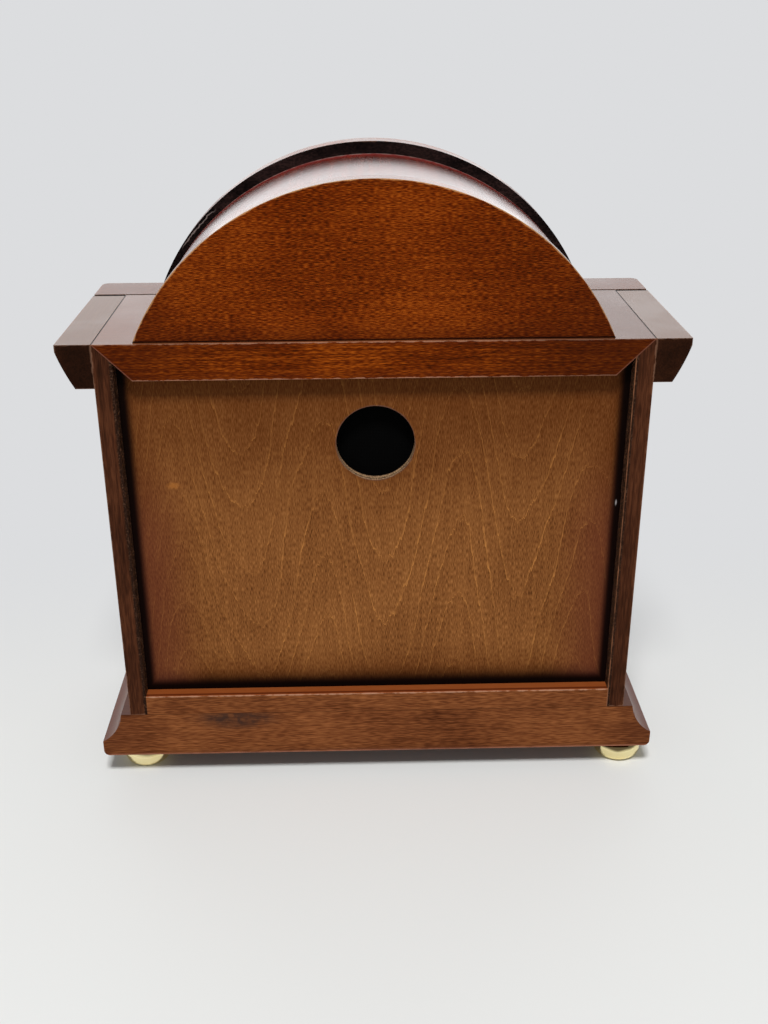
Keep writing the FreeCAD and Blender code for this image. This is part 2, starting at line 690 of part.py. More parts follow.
def makeBed():
    plate = box("bed_slab", ("bed_left", "bed_right"), ("bed_front", "bed_rear"), ("bed_under", "bed_top"))
    feet = []
    for x in ("bed_left + bed_foot_inset", "bed_right - bed_foot_inset"):
        for y in ("bed_front + bed_foot_inset", "bed_rear - bed_foot_inset"):
            feet.append(rod("bed_foot", "z", "bed_foot_radius", ("stage_top", "bed_under"), (x, y)))
    keep(fuse("bedplate", plate, *feet), "bedplate")


def makeBrackets():
    bearing, bore = post(
        "left_bearing", ("bearing_left", "bearing_right"), "cylinder_y", "bracket_half_width",
        "cylinder_arbor_radius + running_gap",
    )
    keep(cut("left_cylinder_bearing", bearing, bore), "left_cylinder_bearing")

    across = ("plate_left", "plate_right")
    rear, rearBore = post(
        "right_rear", across, "cylinder_y", "bracket_half_width", "cylinder_arbor_radius + running_gap",
    )
    near, nearBore = post(
        "right_near", across, "governor_y", "bracket_half_width", "governor_arbor_radius + running_gap",
    )
    web = box("right_web", across, ("governor_y", "cylinder_y"), ("bed_top", "axis_z - web_drop"))
    keep(cut("right_bracket", fuse("right_plate", rear, near, web), rearBore, nearBore), "right_bracket")

    inner, innerBore = post(
        "barrel_inner", ("barrel_inner_x", "barrel_inner_x + bracket_thickness"), "barrel_y",
        "bracket_half_width", "barrel_arbor_radius + running_gap",
    )
    keep(cut("inner_barrel_bracket", inner, innerBore), "inner_barrel_bracket")

    outer, outerBore = post(
        "barrel_outer", ("bracket_left", "bracket_right"), "barrel_y", "bracket_half_width",
        "barrel_arbor_radius + running_gap",
    )
    ear = box(
        "click_ear", ("bracket_left", "bracket_right"), ("click_y - click_ear", "barrel_y"),
        ("bed_top", "click_z + click_ear"),
    )
    stud = rod(
        "click_stud", "x", "click_stud_radius", ("ratchet_left", "bracket_right"), ("click_y", "click_z"),
    )
    plate = fuse("barrel_plate", outer, ear, stud)
    keep(cut("outer_barrel_bracket", plate, outerBore), "outer_barrel_bracket")


def pinnedSleeve():
    # Brass tube with rows of steel pins: each track of pins passes under one comb tooth
    outer = number("cylinder_radius")
    inner = number("cylinder_radius - cylinder_wall")
    length = number("cylinder_length")
    tube = Part.makeCylinder(outer, length).cut(Part.makeCylinder(inner, length))
    width = number("pin_width")
    reach = number("pin_height")
    tracks = round(number("comb_teeth"))
    step = number("comb_length / comb_teeth")
    first = number("comb_left - cylinder_left") + step / 2
    sink = number("cylinder_wall") / 2
    beats = round(number("pins_per_track"))
    trackTurn, beatTurn, drift = 137.5, 117, 31
    pins = []
    for track in range(tracks):
        for beat in range(beats):
            angle = track * trackTurn + beat * beatTurn + track * track * drift
            pin = Part.makeBox(reach + sink, width, width, Vector(outer - sink, -width / 2, -width / 2))
            pin.rotate(Vector(), Vector(0, 0, 1), angle)
            pin.translate(Vector(0, 0, first + track * step))
            pins.append(pin)
    return tube.fuse(pins)


def makeCylinder():
    keep(
        feature("cylinder_sleeve", pinnedSleeve(), "cylinder_left", "cylinder_y", "axis_z", alongX),
        "cylinder_sleeve",
    )
    at = ("cylinder_y", "axis_z")
    inside = "cylinder_radius - cylinder_wall"
    caps = []
    for name, ends in (
        ("left_cap", ("cylinder_left", "cylinder_left + cap_thickness")),
        ("right_cap", ("cylinder_right - cap_thickness", "cylinder_right")),
    ):
        disc = rod(name + "_disc", "x", inside, ends, at)
        caps.append(cut(name, disc, rod(name + "_bore", "x", "cylinder_arbor_radius", ends, at)))
    keep(group("cylinder_end_caps", *caps), "cylinder_end_caps")
    whole = ("bearing_left - side_gap", "plate_right + side_gap")
    shaft = rod("cylinder_shaft", "x", "cylinder_arbor_radius", whole, at)
    leaves = gear(
        "cylinder_leaves", "pinion_teeth", "gear_module", "tooth_slack",
        ("great_left - leaf_overlap", "great_right + leaf_overlap"), "cylinder_y", math.pi,
    )
    keep(fuse("cylinder_arbor", shaft, leaves), "cylinder_arbor")
    ends = ("wheel_left", "wheel_right")
    blank = gear("wheel_blank", "wheel_teeth", "gear_module", "tooth_slack", ends, "cylinder_y", math.pi)
    openings = [rod("wheel_bore", "x", "cylinder_arbor_radius", ends, at)]
    crossings = round(number("crossing_count"))
    for nth in range(crossings):
        turn = f"360 deg * {nth} / crossing_count"
        middle = (f"cylinder_y + crossing_circle * cos({turn})", f"axis_z + crossing_circle * sin({turn})")
        openings.append(rod("wheel_crossing", "x", "crossing_radius", ends, middle))
    keep(cut("cylinder_wheel", blank, *openings), "cylinder_wheel")


def springShape():
    # Flat spiral of half circles about two centres, an inner and an outer edge joined at the ends
    turns = round(number("spring_turns"))
    thick = number("spring_thickness")
    start = number("barrel_arbor_radius + spring_eye")
    pitch = (number("barrel_radius - barrel_wall - spring_gap") - thick - start) / turns

    def edge(offset):
        arcs = []
        left = -(start + offset)
        for nth in range(2 * turns):
            span = 2 * (start + offset) + nth * pitch
            sign = 1 if nth % 2 == 0 else -1
            right = left + sign * span
            middle = Vector((left + right) / 2, sign * span / 2, 0)
            arcs.append(Part.Arc(Vector(left, 0, 0), middle, Vector(right, 0, 0)).toShape())
            left = right
        return arcs

    inner = edge(0)
    outer = edge(thick)
    starts = Part.makeLine(inner[0].Vertexes[0].Point, outer[0].Vertexes[0].Point)
    finish = Part.makeLine(inner[-1].Vertexes[-1].Point, outer[-1].Vertexes[-1].Point)
    ring = Part.Wire(Part.__sortEdges__(inner + outer + [starts, finish]))
    return Part.Face(ring).extrude(Vector(0, 0, number("barrel_length - 2 * barrel_wall - 2 * side_gap")))


def makeBarrel():
    at = ("barrel_y", "axis_z")
    whole = ("barrel_left", "great_left")
    running = "barrel_arbor_radius + running_gap"
    skin = rod("barrel_skin", "x", "barrel_radius", whole, at)
    hollow = ("barrel_left + barrel_wall", "great_left")
    room = rod("barrel_room", "x", "barrel_radius - barrel_wall", hollow, at)
    keep(cut("barrel_drum", skin, room, rod("drum_bore", "x", running, whole, at)), "barrel_drum")
    ends = ("great_left", "great_right")
    halfTooth = math.pi / round(number("great_teeth"))
    blank = gear("great_blank", "great_teeth", "gear_module", "tooth_slack", ends, "barrel_y", halfTooth)
    keep(cut("great_wheel", blank, rod("great_bore", "x", running, ends, at)), "great_wheel")
    keep(
        feature(
            "mainspring", springShape(), "barrel_left + barrel_wall + side_gap", "barrel_y", "axis_z", alongX,
        ),
        "mainspring",
    )
    length = ("key_left", "barrel_inner_x + bracket_thickness")
    keep(rod("barrel_arbor", "x", "barrel_arbor_radius", length, at), "barrel_arbor")


def makeWinding():
    at = ("barrel_y", "axis_z")
    tip = number("ratchet_radius")
    root = tip - number("ratchet_depth")
    teeth = round(number("ratchet_teeth"))
    points = []
    for tooth in range(teeth):
        for radius, share in ((root, rampStart), (tip, rampEnd), (tip, 1)):
            angle = 2 * math.pi * (tooth + share) / teeth
            points.append((radius * math.cos(angle), radius * math.sin(angle)))
    saw = extruded(points, number("ratchet_thickness"))
    blank = feature("ratchet_blank", saw, "ratchet_left", "barrel_y", "axis_z", alongX)
    bore = rod("ratchet_bore", "x", "barrel_arbor_radius", ("ratchet_left", "ratchet_right"), at)
    keep(cut("ratchet_wheel", blank, bore), "ratchet_wheel")

    middle = "(key_left + key_right) / 2"
    thick = ("barrel_y - key_wing_thickness / 2", "barrel_y + key_wing_thickness / 2")
    hub = rod("key_hub", "x", "key_hub_radius", ("key_left", "key_right"), at)
    bar = box(
        "key_bar", (f"{middle} - key_wing_radius / 2", f"{middle} + key_wing_radius / 2"), thick,
        ("axis_z - key_span", "axis_z + key_span"),
    )
    low = rod("key_low_wing", "y", "key_wing_radius", thick, (middle, "axis_z - key_span"))
    high = rod("key_high_wing", "y", "key_wing_radius", thick, (middle, "axis_z + key_span"))
    socket = rod("key_socket", "x", "barrel_arbor_radius", ("key_left", "key_right"), at)
    keep(cut("winding_key", fuse("key_solid", hub, bar, low, high), socket), "winding_key")

    ends = ("ratchet_left", "ratchet_right")
    pawl = prism("click_pawl", "x", ends, [
        ("click_y", "click_z - click_root"),
        ("click_y + click_reach", "click_z - click_rise"),
        ("click_y + click_reach - click_nose", "click_z + click_nose_rise"),
        ("click_y", "click_z + click_root"),
    ])
    eye = rod("click_eye", "x", "click_stud_radius + click_eye_wall", ends, ("click_y", "click_z"))
    hole = rod("click_hole", "x", "click_stud_radius + running_gap", ends, ("click_y", "click_z"))
    keep(cut("click", fuse("click_solid", pawl, eye), hole), "click")


def makeComb():
    teeth = round(number("comb_teeth"))
    pitch = number("comb_length / comb_teeth")
    slot = number("comb_slot")
    bass = number("comb_bass_length")
    treble = number("comb_treble_length")
    length = number("comb_length")
    back = -number("comb_back_depth") - bass
    points = [(length, back), (0, back)]
    for tooth in range(teeth):
        left = tooth * pitch
        root = -(bass + (treble - bass) * tooth / (teeth - 1))
        if tooth > 0:
            points.append((left + slot / 2, root))
        points.append((left + (slot / 2 if tooth else 0), 0))
        right = left + pitch - (slot / 2 if tooth < teeth - 1 else 0)
        points.append((right, 0))
        if tooth < teeth - 1:
            points.append((right, root))
    slotted = extruded(points, number("comb_thickness"))
    plate = feature("comb_plate", slotted, "comb_left", "comb_tip", "axis_z - comb_thickness")
    under = box(
        "comb_relief", ("comb_left - cut_over", "comb_left + comb_length + cut_over"),
        ("comb_root", "comb_tip + cut_over"),
        ("axis_z - 2 * comb_thickness", "axis_z - comb_tooth_thickness"),
    )
    keep(cut("comb", plate, under), "comb")
    keep(box(
        "comb_block", ("comb_left", "comb_left + comb_length"), ("comb_back", "comb_root"),
        ("bed_top", "axis_z - comb_thickness"),
    ), "comb_block")


def wormShape():
    # Single right-handed thread on the fly's arbor, its crest on the +Y side at the wheel's height
    lead = math.pi * number("worm_wheel_module")
    length = number("worm_length")
    middle = number("worm_radius")
    module = number("worm_wheel_module")
    tip = middle + wormTip * module
    root = middle - wormRoot * module
    half = (lead / 2 - number("worm_slack")) / 2
    slope = math.tan(pressureAngle)
    turns = math.floor(length / lead) - 1
    sink = wormSink * module
    low = -turns * lead / 2

    def section(nth):
        angle = math.pi / 2 + 2 * math.pi * nth / threadSteps
        height = low + lead * nth / threadSteps
        if turns % 2:
            angle += math.pi
        places = (
            (root - sink, half + (middle - root + sink) * slope), (tip, half - (tip - middle) * slope),
            (tip, -half + (tip - middle) * slope), (root - sink, -half - (middle - root + sink) * slope),
        )
        return [
            Vector(radius * math.cos(angle), radius * math.sin(angle), height + rise)
            for radius, rise in places
        ]

    def quad(a, b, c, d):
        return [Part.Face(Part.makePolygon([a, b, c, a])), Part.Face(Part.makePolygon([a, c, d, a]))]

    rings = [section(nth) for nth in range(turns * threadSteps + 1)]
    faces = quad(*rings[0]) + quad(*reversed(rings[-1]))
    for first, second in zip(rings, rings[1:]):
        for corner in range(4):
            after = (corner + 1) % 4
            faces += quad(first[corner], first[after], second[after], second[corner])
    thread = Part.Solid(Part.Shell(faces))
    if thread.Volume < 0:
        thread.reverse()
    core = Part.makeCylinder(root, length, Vector(0, 0, -length / 2))
    return core.fuse(thread)


def makeGovernor():
    at = ("governor_y", "axis_z")
    shaft = rod("governor_shaft", "x", "governor_arbor_radius", ("wheel_left - side_gap", "frame_right"), at)
    teeth = round(number("leaf_teeth"))
    leaves = gear(
        "governor_leaves", "leaf_teeth", "gear_module", "tooth_slack",
        ("wheel_left - leaf_overlap", "wheel_right + leaf_overlap"), "governor_y", math.pi / teeth,
    )
    keep(fuse("governor_arbor", shaft, leaves), "governor_arbor")
    ends = ("worm_x - worm_wheel_thickness / 2", "worm_x + worm_wheel_thickness / 2")
    wormTeeth = round(number("worm_wheel_teeth"))
    blank = gear(
        "worm_blank", "worm_wheel_teeth", "worm_wheel_module", "worm_slack", ends, "governor_y",
        math.pi + math.pi / wormTeeth,
    )
    bore = rod("worm_wheel_bore", "x", "governor_arbor_radius", ends, at)
    keep(cut("worm_wheel", blank, bore), "worm_wheel")

    where = ("worm_x", "worm_y")
    spindle = rod("fly_spindle", "z", "fly_arbor_radius", ("lower_arm", "upper_arm + arm_thickness"), where)
    worm = feature("worm", wormShape(), "worm_x", "worm_y", "axis_z")
    keep(fuse("fly_arbor", spindle, worm), "fly_arbor")
    hub = rod("fly_hub", "z", "fly_hub_radius", ("fly_low", "fly_high"), where)
    vanes = box(
        "vanes", ("worm_x - fly_radius", "worm_x + fly_radius"),
        ("worm_y - vane_thickness / 2", "worm_y + vane_thickness / 2"), ("fly_low", "fly_high"),
    )
    collar = rod("fly_collar", "z", "collar_radius", ("fly_high", "collar_top"), where)
    bore = rod("fly_bore", "z", "fly_arbor_radius", ("fly_low", "collar_top"), where)
    keep(cut("fly_vanes", fuse("fly_solid", hub, vanes, collar), bore), "fly_vanes")

    wide = ("worm_y - arm_half_width", "worm_y + arm_half_width")
    deep = ("worm_y - arm_half_width", "governor_y + arm_half_width")
    plate = box("frame_plate", ("frame_left", "frame_right"), deep, ("bed_top", "upper_arm + arm_thickness"))
    flange = box(
        "frame_flange", ("frame_left", "frame_right + flange_length"), deep,
        ("bed_top", "bed_top + arm_thickness"),
    )
    reach = ("worm_x - arm_half_width", "frame_right")
    low = box("frame_low", reach, wide, ("lower_arm", "lower_arm + arm_thickness"))
    high = box("frame_high", reach, wide, ("upper_arm", "upper_arm + arm_thickness"))
    rise = ("lower_arm", "upper_arm + arm_thickness")
    pivots = rod("frame_pivots", "z", "fly_arbor_radius + running_gap", rise, where)
    bearing = rod(
        "frame_bearing", "x", "governor_arbor_radius + running_gap", ("frame_left", "frame_right"), at,
    )
    whole = fuse("frame_solid", plate, flange, low, high)
    keep(cut("governor_frame", whole, pivots, bearing), "governor_frame")


def makeStop():
    at = ("stop_x", "worm_y")
    lift = ("stop_low", "stop_low + stop_thickness")
    stem = rod("stop_stem", "z", "stop_post_radius", ("bed_top", "stop_low"), at)
    pivot = rod("stop_pivot", "z", "stop_pin_radius", ("stop_low", "stop_low + stop_pin_height"), at)
    keep(fuse("stop_post", stem, pivot), "stop_post")
    bar = box(
        "stop_bar", ("stop_x - stop_handle", "worm_x - collar_radius - stop_gap"),
        ("worm_y - stop_width / 2", "worm_y + stop_width / 2"), lift,
    )
    eye = rod("stop_eye", "z", "stop_pin_radius + stop_eye_wall", lift, at)
    knob = rod(
        "stop_knob", "z", "stop_knob_radius", ("stop_low", "stop_low + stop_knob_height"),
        ("stop_x - stop_handle", "worm_y"),
    )
    hole = rod("stop_hole", "z", "stop_pin_radius + running_gap", lift, at)
    keep(cut("stop_lever", fuse("stop_solid", bar, eye, knob), hole), "stop_lever")


def makeScrews():
    heads = []
    count = round(number("comb_screws"))
    for nth in range(count):
        x = f"comb_left + comb_length * {nth + 0.5} / comb_screws"
        heads.append(rod(
            "comb_screw", "z", "screw_radius", ("axis_z", "axis_z + screw_height"),
            (x, "comb_back + comb_back_depth / 2"),
        ))
    for x in ("bed_left + bed_foot_inset", "bed_right - bed_foot_inset"):
        y = "bed_rear - bed_foot_inset"
        heads.append(rod("bed_screw", "z", "screw_radius", ("bed_top", "bed_top + screw_height"), (x, y)))
    seat = "bed_top + arm_thickness"
    heads.append(rod(
        "frame_screw", "z", "screw_radius", (seat, f"{seat} + screw_height"),
        ("frame_right + flange_length / 2", "(worm_y + governor_y) / 2"),
    ))
    keep(group("movement_screws", *heads), "movement_screws")


makeBase()
makeFeet()
makeBody()
makeDome()
makeFront()
makeStage()
makeDoor()
makeHinges()
makeBed()
makeBrackets()
makeCylinder()
makeBarrel()
makeWinding()
makeComb()
makeGovernor()
makeStop()
makeScrews()

doc.recompute()
faults = [thing.Name for thing in doc.Objects if {"Invalid", "Error"} & set(thing.State)]
faults += [part.Label for part in subParts if part.Shape.isNull() or not part.Shape.isValid()]
if faults:
    raise RuntimeError("failed pieces: " + ", ".join(faults))

os.makedirs("parts", exist_ok=True)
for part in subParts:
    part.Shape.exportStep(f"parts/{part.Label}.step")
    print(part.Label, len(part.Shape.Solids), round(part.Shape.Volume, 1))
print(len(subParts), "pieces")
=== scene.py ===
import json
import math

import bmesh
import bpy
import numpy as np
from mathutils import Euler, Matrix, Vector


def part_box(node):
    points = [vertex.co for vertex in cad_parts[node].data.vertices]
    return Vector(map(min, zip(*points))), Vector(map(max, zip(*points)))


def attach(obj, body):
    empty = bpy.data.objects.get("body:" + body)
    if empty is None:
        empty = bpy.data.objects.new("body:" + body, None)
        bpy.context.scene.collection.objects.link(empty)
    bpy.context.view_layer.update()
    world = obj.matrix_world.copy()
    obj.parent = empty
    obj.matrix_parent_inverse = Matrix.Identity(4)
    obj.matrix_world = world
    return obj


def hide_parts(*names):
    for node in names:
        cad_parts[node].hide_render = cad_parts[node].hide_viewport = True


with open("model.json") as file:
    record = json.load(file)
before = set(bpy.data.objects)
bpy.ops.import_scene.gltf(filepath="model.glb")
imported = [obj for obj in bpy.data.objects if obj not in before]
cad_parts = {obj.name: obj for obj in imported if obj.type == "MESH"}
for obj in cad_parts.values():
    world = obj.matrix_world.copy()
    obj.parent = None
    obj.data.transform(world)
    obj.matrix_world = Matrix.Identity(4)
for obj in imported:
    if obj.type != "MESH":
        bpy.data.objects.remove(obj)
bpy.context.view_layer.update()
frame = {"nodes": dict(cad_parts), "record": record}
nodes = frame["nodes"]
mm = 0.001
print("frame loaded,", len(nodes), "nodes")


# Node helpers

def addNode(tree, kind, **settings):
    node = tree.nodes.new(kind)
    for name, value in settings.items():
        setattr(node, name, value)
    return node


def feed(tree, socket, value):
    # A socket takes either another node's output or a plain value
    if hasattr(value, "is_linked"):
        tree.links.new(value, socket)
    else:
        socket.default_value = (*value, 1.0) if socket.type == "RGBA" and len(value) == 3 else value


def mathNode(tree, operation, *values, clamp=False):
    node = addNode(tree, "ShaderNodeMath", operation=operation, use_clamp=clamp)
    for index, value in enumerate(values):
        feed(tree, node.inputs[index], value)
    return node.outputs[0]


def vectorNode(tree, operation, *values, scale=None):
    node = addNode(tree, "ShaderNodeVectorMath", operation=operation)
    for index, value in enumerate(values):
        feed(tree, node.inputs[index], value)
    if scale is not None:
        feed(tree, node.inputs["Scale"], scale)
    return node.outputs["Value" if operation in ("DOT_PRODUCT", "LENGTH") else "Vector"]


def split(tree, vector):
    node = addNode(tree, "ShaderNodeSeparateXYZ")
    feed(tree, node.inputs[0], vector)
    return node.outputs


def spread(tree, value, low, high, start=0.0, end=1.0, smooth=True):
    node = addNode(tree, "ShaderNodeMapRange", clamp=True)
    node.interpolation_type = "SMOOTHSTEP" if smooth else "LINEAR"
    for index, item in enumerate((value, low, high, start, end)):
        feed(tree, node.inputs[index], item)
    return node.outputs[0]


def noise(tree, vector, scale, detail=3.0, roughness=0.5, seed=0.0, distortion=0.0):
    node = addNode(tree, "ShaderNodeTexNoise", noise_dimensions="4D")
    for name, value in (
        ("Vector", vector), ("Scale", scale), ("Detail", detail), ("Roughness", roughness),
        ("W", seed), ("Distortion", distortion),
    ):
        feed(tree, node.inputs[name], value)
    return node.outputs["Fac"]


def mixColours(tree, factor, first, second):
    node = addNode(tree, "ShaderNodeMix", data_type="RGBA", clamp_factor=True)
    for index, value in ((0, factor), (6, first), (7, second)):
        feed(tree, node.inputs[index], value)
    return node.outputs[2]


def plus(tree, first, second):
    return mathNode(tree, "ADD", first, second)


def minus(tree, first, second):
    return mathNode(tree, "SUBTRACT", first, second)


def times(tree, first, second):
    return mathNode(tree, "MULTIPLY", first, second)


def srgb(red, green, blue):
    # A screen colour of 0 to 255 as the linear colour that a shader takes
    parts = [channel / 255 for channel in (red, green, blue)]
    return tuple(p / 12.92 if p <= 0.04045 else ((p + 0.055) / 1.055) ** 2.4 for p in parts)


# Shared effects

def newGroup(name, inputs, outputs):
    group = bpy.data.node_groups.new(name, "ShaderNodeTree")
    kinds = {"vector": "NodeSocketVector", "value": "NodeSocketFloat"}
    for socket, (kind, default) in inputs.items():
        made = group.interface.new_socket(socket, in_out="INPUT", socket_type=kinds[kind])
        made.default_value = default
    for socket in outputs:
        group.interface.new_socket(socket, in_out="OUTPUT", socket_type="NodeSocketFloat")
    return group, group.nodes.new("NodeGroupInput").outputs, group.nodes.new("NodeGroupOutput").inputs


def makeGrainGroup():
    # Sawn grain: noises squeezed along the board give long streaks and short flecks, and a plain
    # noise gives clouds
    group, given, made = newGroup(
        "sawnGrain",
        {
            "Vector": ("vector", (0, 0, 0)), "Along": ("vector", (1, 0, 0)), "Seed": ("value", 0.0),
            "Streaks per metre": ("value", 200.0), "Streak length": ("value", 0.05),
            "Flecks per metre": ("value", 900.0), "Fleck length": ("value", 0.2),
            "Clouds per metre": ("value", 32.0),
        },
        ("Streaks", "Flecks", "Clouds", "Height"),
    )
    place, along, seed = given["Vector"], given["Along"], given["Seed"]
    lengthwise = vectorNode(group, "SCALE", along, scale=vectorNode(group, "DOT_PRODUCT", place, along))
    across = vectorNode(group, "SUBTRACT", place, lengthwise)

    def squeezed(length):
        return vectorNode(group, "ADD", across, vectorNode(group, "SCALE", lengthwise, scale=length))

    streaky = squeezed(given["Streak length"])
    streaks = noise(group, streaky, given["Streaks per metre"], 3.0, 0.5, seed, 0.15)
    later = plus(group, seed, 3.1)
    flecky = squeezed(given["Fleck length"])
    flecks = noise(group, flecky, given["Flecks per metre"], 0.6, 0.5, later, 0.1)
    last = plus(group, seed, 7.7)
    clouds = noise(group, place, given["Clouds per metre"], 2.0, 0.5, last, 0.4)
    feed(group, made["Streaks"], spread(group, streaks, 0.3, 0.7))
    feed(group, made["Flecks"], spread(group, flecks, 0.3, 0.7))
    feed(group, made["Clouds"], spread(group, clouds, 0.32, 0.68))
    feed(group, made["Height"], plus(group, times(group, streaks, 0.5), flecks))
    return group


def makeArrisGroup():
    # Pale arrises of a board, partly worn and partly a painted highlight of a rounded edge: the middle
    # one of its three distances to its nearer faces is the distance to its nearest edge, and a noise
    # breaks the line up
    group, given, made = newGroup(
        "arrisWearAndHighlight",
        {
            "Vector": ("vector", (0, 0, 0)), "Low": ("vector", (0, 0, 0)), "High": ("vector", (1, 1, 1)),
            "Width": ("value", 0.0006), "Seed": ("value", 0.0),
        },
        ("Worn",),
    )
    place = given["Vector"]
    toLow = vectorNode(group, "SUBTRACT", place, given["Low"])
    toHigh = vectorNode(group, "SUBTRACT", given["High"], place)
    x, y, z = split(group, vectorNode(group, "ABSOLUTE", vectorNode(group, "MINIMUM", toLow, toHigh)))
    middle = mathNode(
        group, "MAXIMUM", mathNode(group, "MINIMUM", x, y),
        mathNode(group, "MINIMUM", mathNode(group, "MAXIMUM", x, y), z),
    )
    broken = noise(group, place, 260.0, 3.0, 0.6, given["Seed"])
    reach = times(group, given["Width"], spread(group, broken, 0.32, 0.62, 0.15, 1.6))
    off = mathNode(group, "DIVIDE", middle, reach)
    feed(group, made["Worn"], spread(group, off, 0.4, 1.0, 1.0, 0.0))
    return group


def makeRimGroup():
    # Rim of a round edge: how near a point lies to a circle about an axis along Y, and its distance
    # from that axis
    group, given, made = newGroup(
        "rimWear",
        {
            "Vector": ("vector", (0, 0, 0)), "Centre": ("vector", (0, 0, 0)), "Radius": ("value", 0.1),
            "Width": ("value", 0.0006), "Seed": ("value", 0.0),
        },
        ("Worn", "Outside"),
    )
    arm = vectorNode(group, "SUBTRACT", given["Vector"], given["Centre"])
    away = vectorNode(group, "LENGTH", vectorNode(group, "MULTIPLY", arm, (1, 0, 1)))
    outside = minus(group, away, given["Radius"])
    broken = noise(group, given["Vector"], 180.0, 3.0, 0.6, given["Seed"])
    reach = times(group, given["Width"], spread(group, broken, 0.32, 0.65, 0.3, 1.5))
    off = mathNode(group, "DIVIDE", mathNode(group, "ABSOLUTE", outside), reach)
    feed(group, made["Worn"], spread(group, off, 0.4, 1.0, 1.0, 0.0))
    feed(group, made["Outside"], outside)
    return group


def makeTonerGroup():
    # Darkening towards the edges of a board that faces along Y: toner, and on the back panel also painted
    # shade
    group, given, made = newGroup(
        "edgeTonerAndShade",
        {
            "Vector": ("vector", (0, 0, 0)), "Low": ("vector", (0, 0, 0)), "High": ("vector", (1, 1, 1)),
            "Side width": ("value", 0.01), "Low width": ("value", 0.01), "High width": ("value", 0.01),
            "Seed": ("value", 0.0),
        },
        ("Toner",),
    )
    place = given["Vector"]
    cloud = noise(group, place, 60.0, 3.0, 0.6, given["Seed"])
    lift = times(group, minus(group, cloud, 0.5), 0.35)
    toLow = split(group, vectorNode(group, "SUBTRACT", place, given["Low"]))
    toHigh = split(group, vectorNode(group, "SUBTRACT", given["High"], place))
    sideways = mathNode(group, "MINIMUM", toLow[0], toHigh[0])
    darkest = 0.0
    edges = ((sideways, "Side width"), (toLow[2], "Low width"), (toHigh[2], "High width"))
    for distance, width in edges:
        near = plus(group, mathNode(group, "DIVIDE", distance, given[width]), lift)
        darkest = mathNode(group, "MAXIMUM", spread(group, near, 0.0, 1.0, 1.0, 0.0), darkest)
    feed(group, made["Toner"], darkest)
    return group


def makeFigureGroup():
    # Rotary-cut figure: growth lines are level lines of a height that rises up the panel and waves
    # as a cosine across it, so they draw nested U shapes in columns; fine upright noise makes them
    # ragged; the height above a line, divided by the length of the slope there, is the distance from it
    group, given, made = newGroup(
        "growthFigure",
        {
            "Vector": ("vector", (0, 0, 0)), "Seed": ("value", 0.0), "Column place": ("value", 0.0),
            "Column spacing": ("value", 0.07), "Dip": ("value", 0.06), "Line gap": ("value", 0.036),
            "Line width": ("value", 0.0005),
        },
        ("Lines", "Bands"),
    )
    place, seed = given["Vector"], given["Seed"]
    x, y, z = split(group, place)

    def wander(stretch, scale, later):
        vector = vectorNode(group, "MULTIPLY", place, (1.0, 1.0, stretch))
        wandering = noise(group, vector, scale, 2.0, 0.5, plus(group, seed, later))
        return minus(group, wandering, 0.5)

    centred = minus(group, x, given["Column place"])
    warped = plus(group, centred, times(group, wander(0.25, 20.0, 0.0), 0.03))
    angle = times(group, mathNode(group, "DIVIDE", warped, given["Column spacing"]), 2 * math.pi)
    dip = times(group, mathNode(group, "COSINE", angle), given["Dip"])
    level = plus(group, z, dip)
    level = plus(group, level, times(group, wander(0.5, 11.0, 4.0), 0.11))
    level = plus(group, level, times(group, wander(0.06, 700.0, 6.0), 0.012))
    phase = mathNode(group, "FRACT", mathNode(group, "DIVIDE", level, given["Line gap"]))
    steepness = mathNode(group, "DIVIDE", given["Dip"], given["Column spacing"])
    steepest = times(group, steepness, 2 * math.pi)
    slope = times(group, mathNode(group, "SINE", angle), steepest)
    slopeLength = mathNode(group, "SQRT", mathNode(group, "MULTIPLY_ADD", slope, slope, 1.0))
    above = mathNode(group, "DIVIDE", times(group, phase, given["Line gap"]), slopeLength)
    line = spread(group, above, 0.0, given["Line width"], 1.0, 0.0)
    patches = noise(group, place, 24.0, 2.0, 0.5, plus(group, seed, 9.0))
    fade = spread(group, patches, 0.3, 0.56, 0.3)
    feed(group, made["Lines"], times(group, line, fade))
    feed(group, made["Bands"], phase)
    return group


def makeBrushGroup():
    # Ground metal: a noise stretched along X gives brush lines, and a plain one clouds of tarnish
    group, given, made = newGroup("brushedMetal", {"Vector": ("vector", (0, 0, 0))}, ("Lines", "Clouds"))
    place = given["Vector"]
    drawn = vectorNode(group, "MULTIPLY", place, (60.0, 1400.0, 1400.0))
    feed(group, made["Lines"], noise(group, drawn, 1.0, 2.0, 0.5, 1.0))
    feed(group, made["Clouds"], noise(group, place, 120.0, 4.0, 0.6, 2.0))
    return group


grainGroup = makeGrainGroup()
arrisGroup = makeArrisGroup()
rimGroup = makeRimGroup()
tonerAndShadeGroup = makeTonerGroup()
figureGroup = makeFigureGroup()
brushGroup = makeBrushGroup()
print("shared effects made")


# Materials

def newMaterial(name):
    material = bpy.data.materials.new(name)
    material.use_nodes = True
    tree = material.node_tree
    shader = tree.nodes["Principled BSDF"]
    coordinates = tree.nodes.new("ShaderNodeTexCoord").outputs
    return material, tree, shader, coordinates["Object"], split(tree, coordinates["Normal"])


def placeGroup(tree, group, vector, **values):
    node = tree.nodes.new("ShaderNodeGroup")
    node.node_tree = group
    feed(tree, node.inputs["Vector"], vector)
    for name, value in values.items():
        node.inputs[name.replace("_", " ")].default_value = value
    return node.outputs


def bump(tree, shader, height, strength, distance):
    node = addNode(tree, "ShaderNodeBump")
    node.inputs["Strength"].default_value = strength
    node.inputs["Distance"].default_value = distance
    feed(tree, node.inputs["Height"], height)
    feed(tree, shader.inputs["Normal"], node.outputs[0])


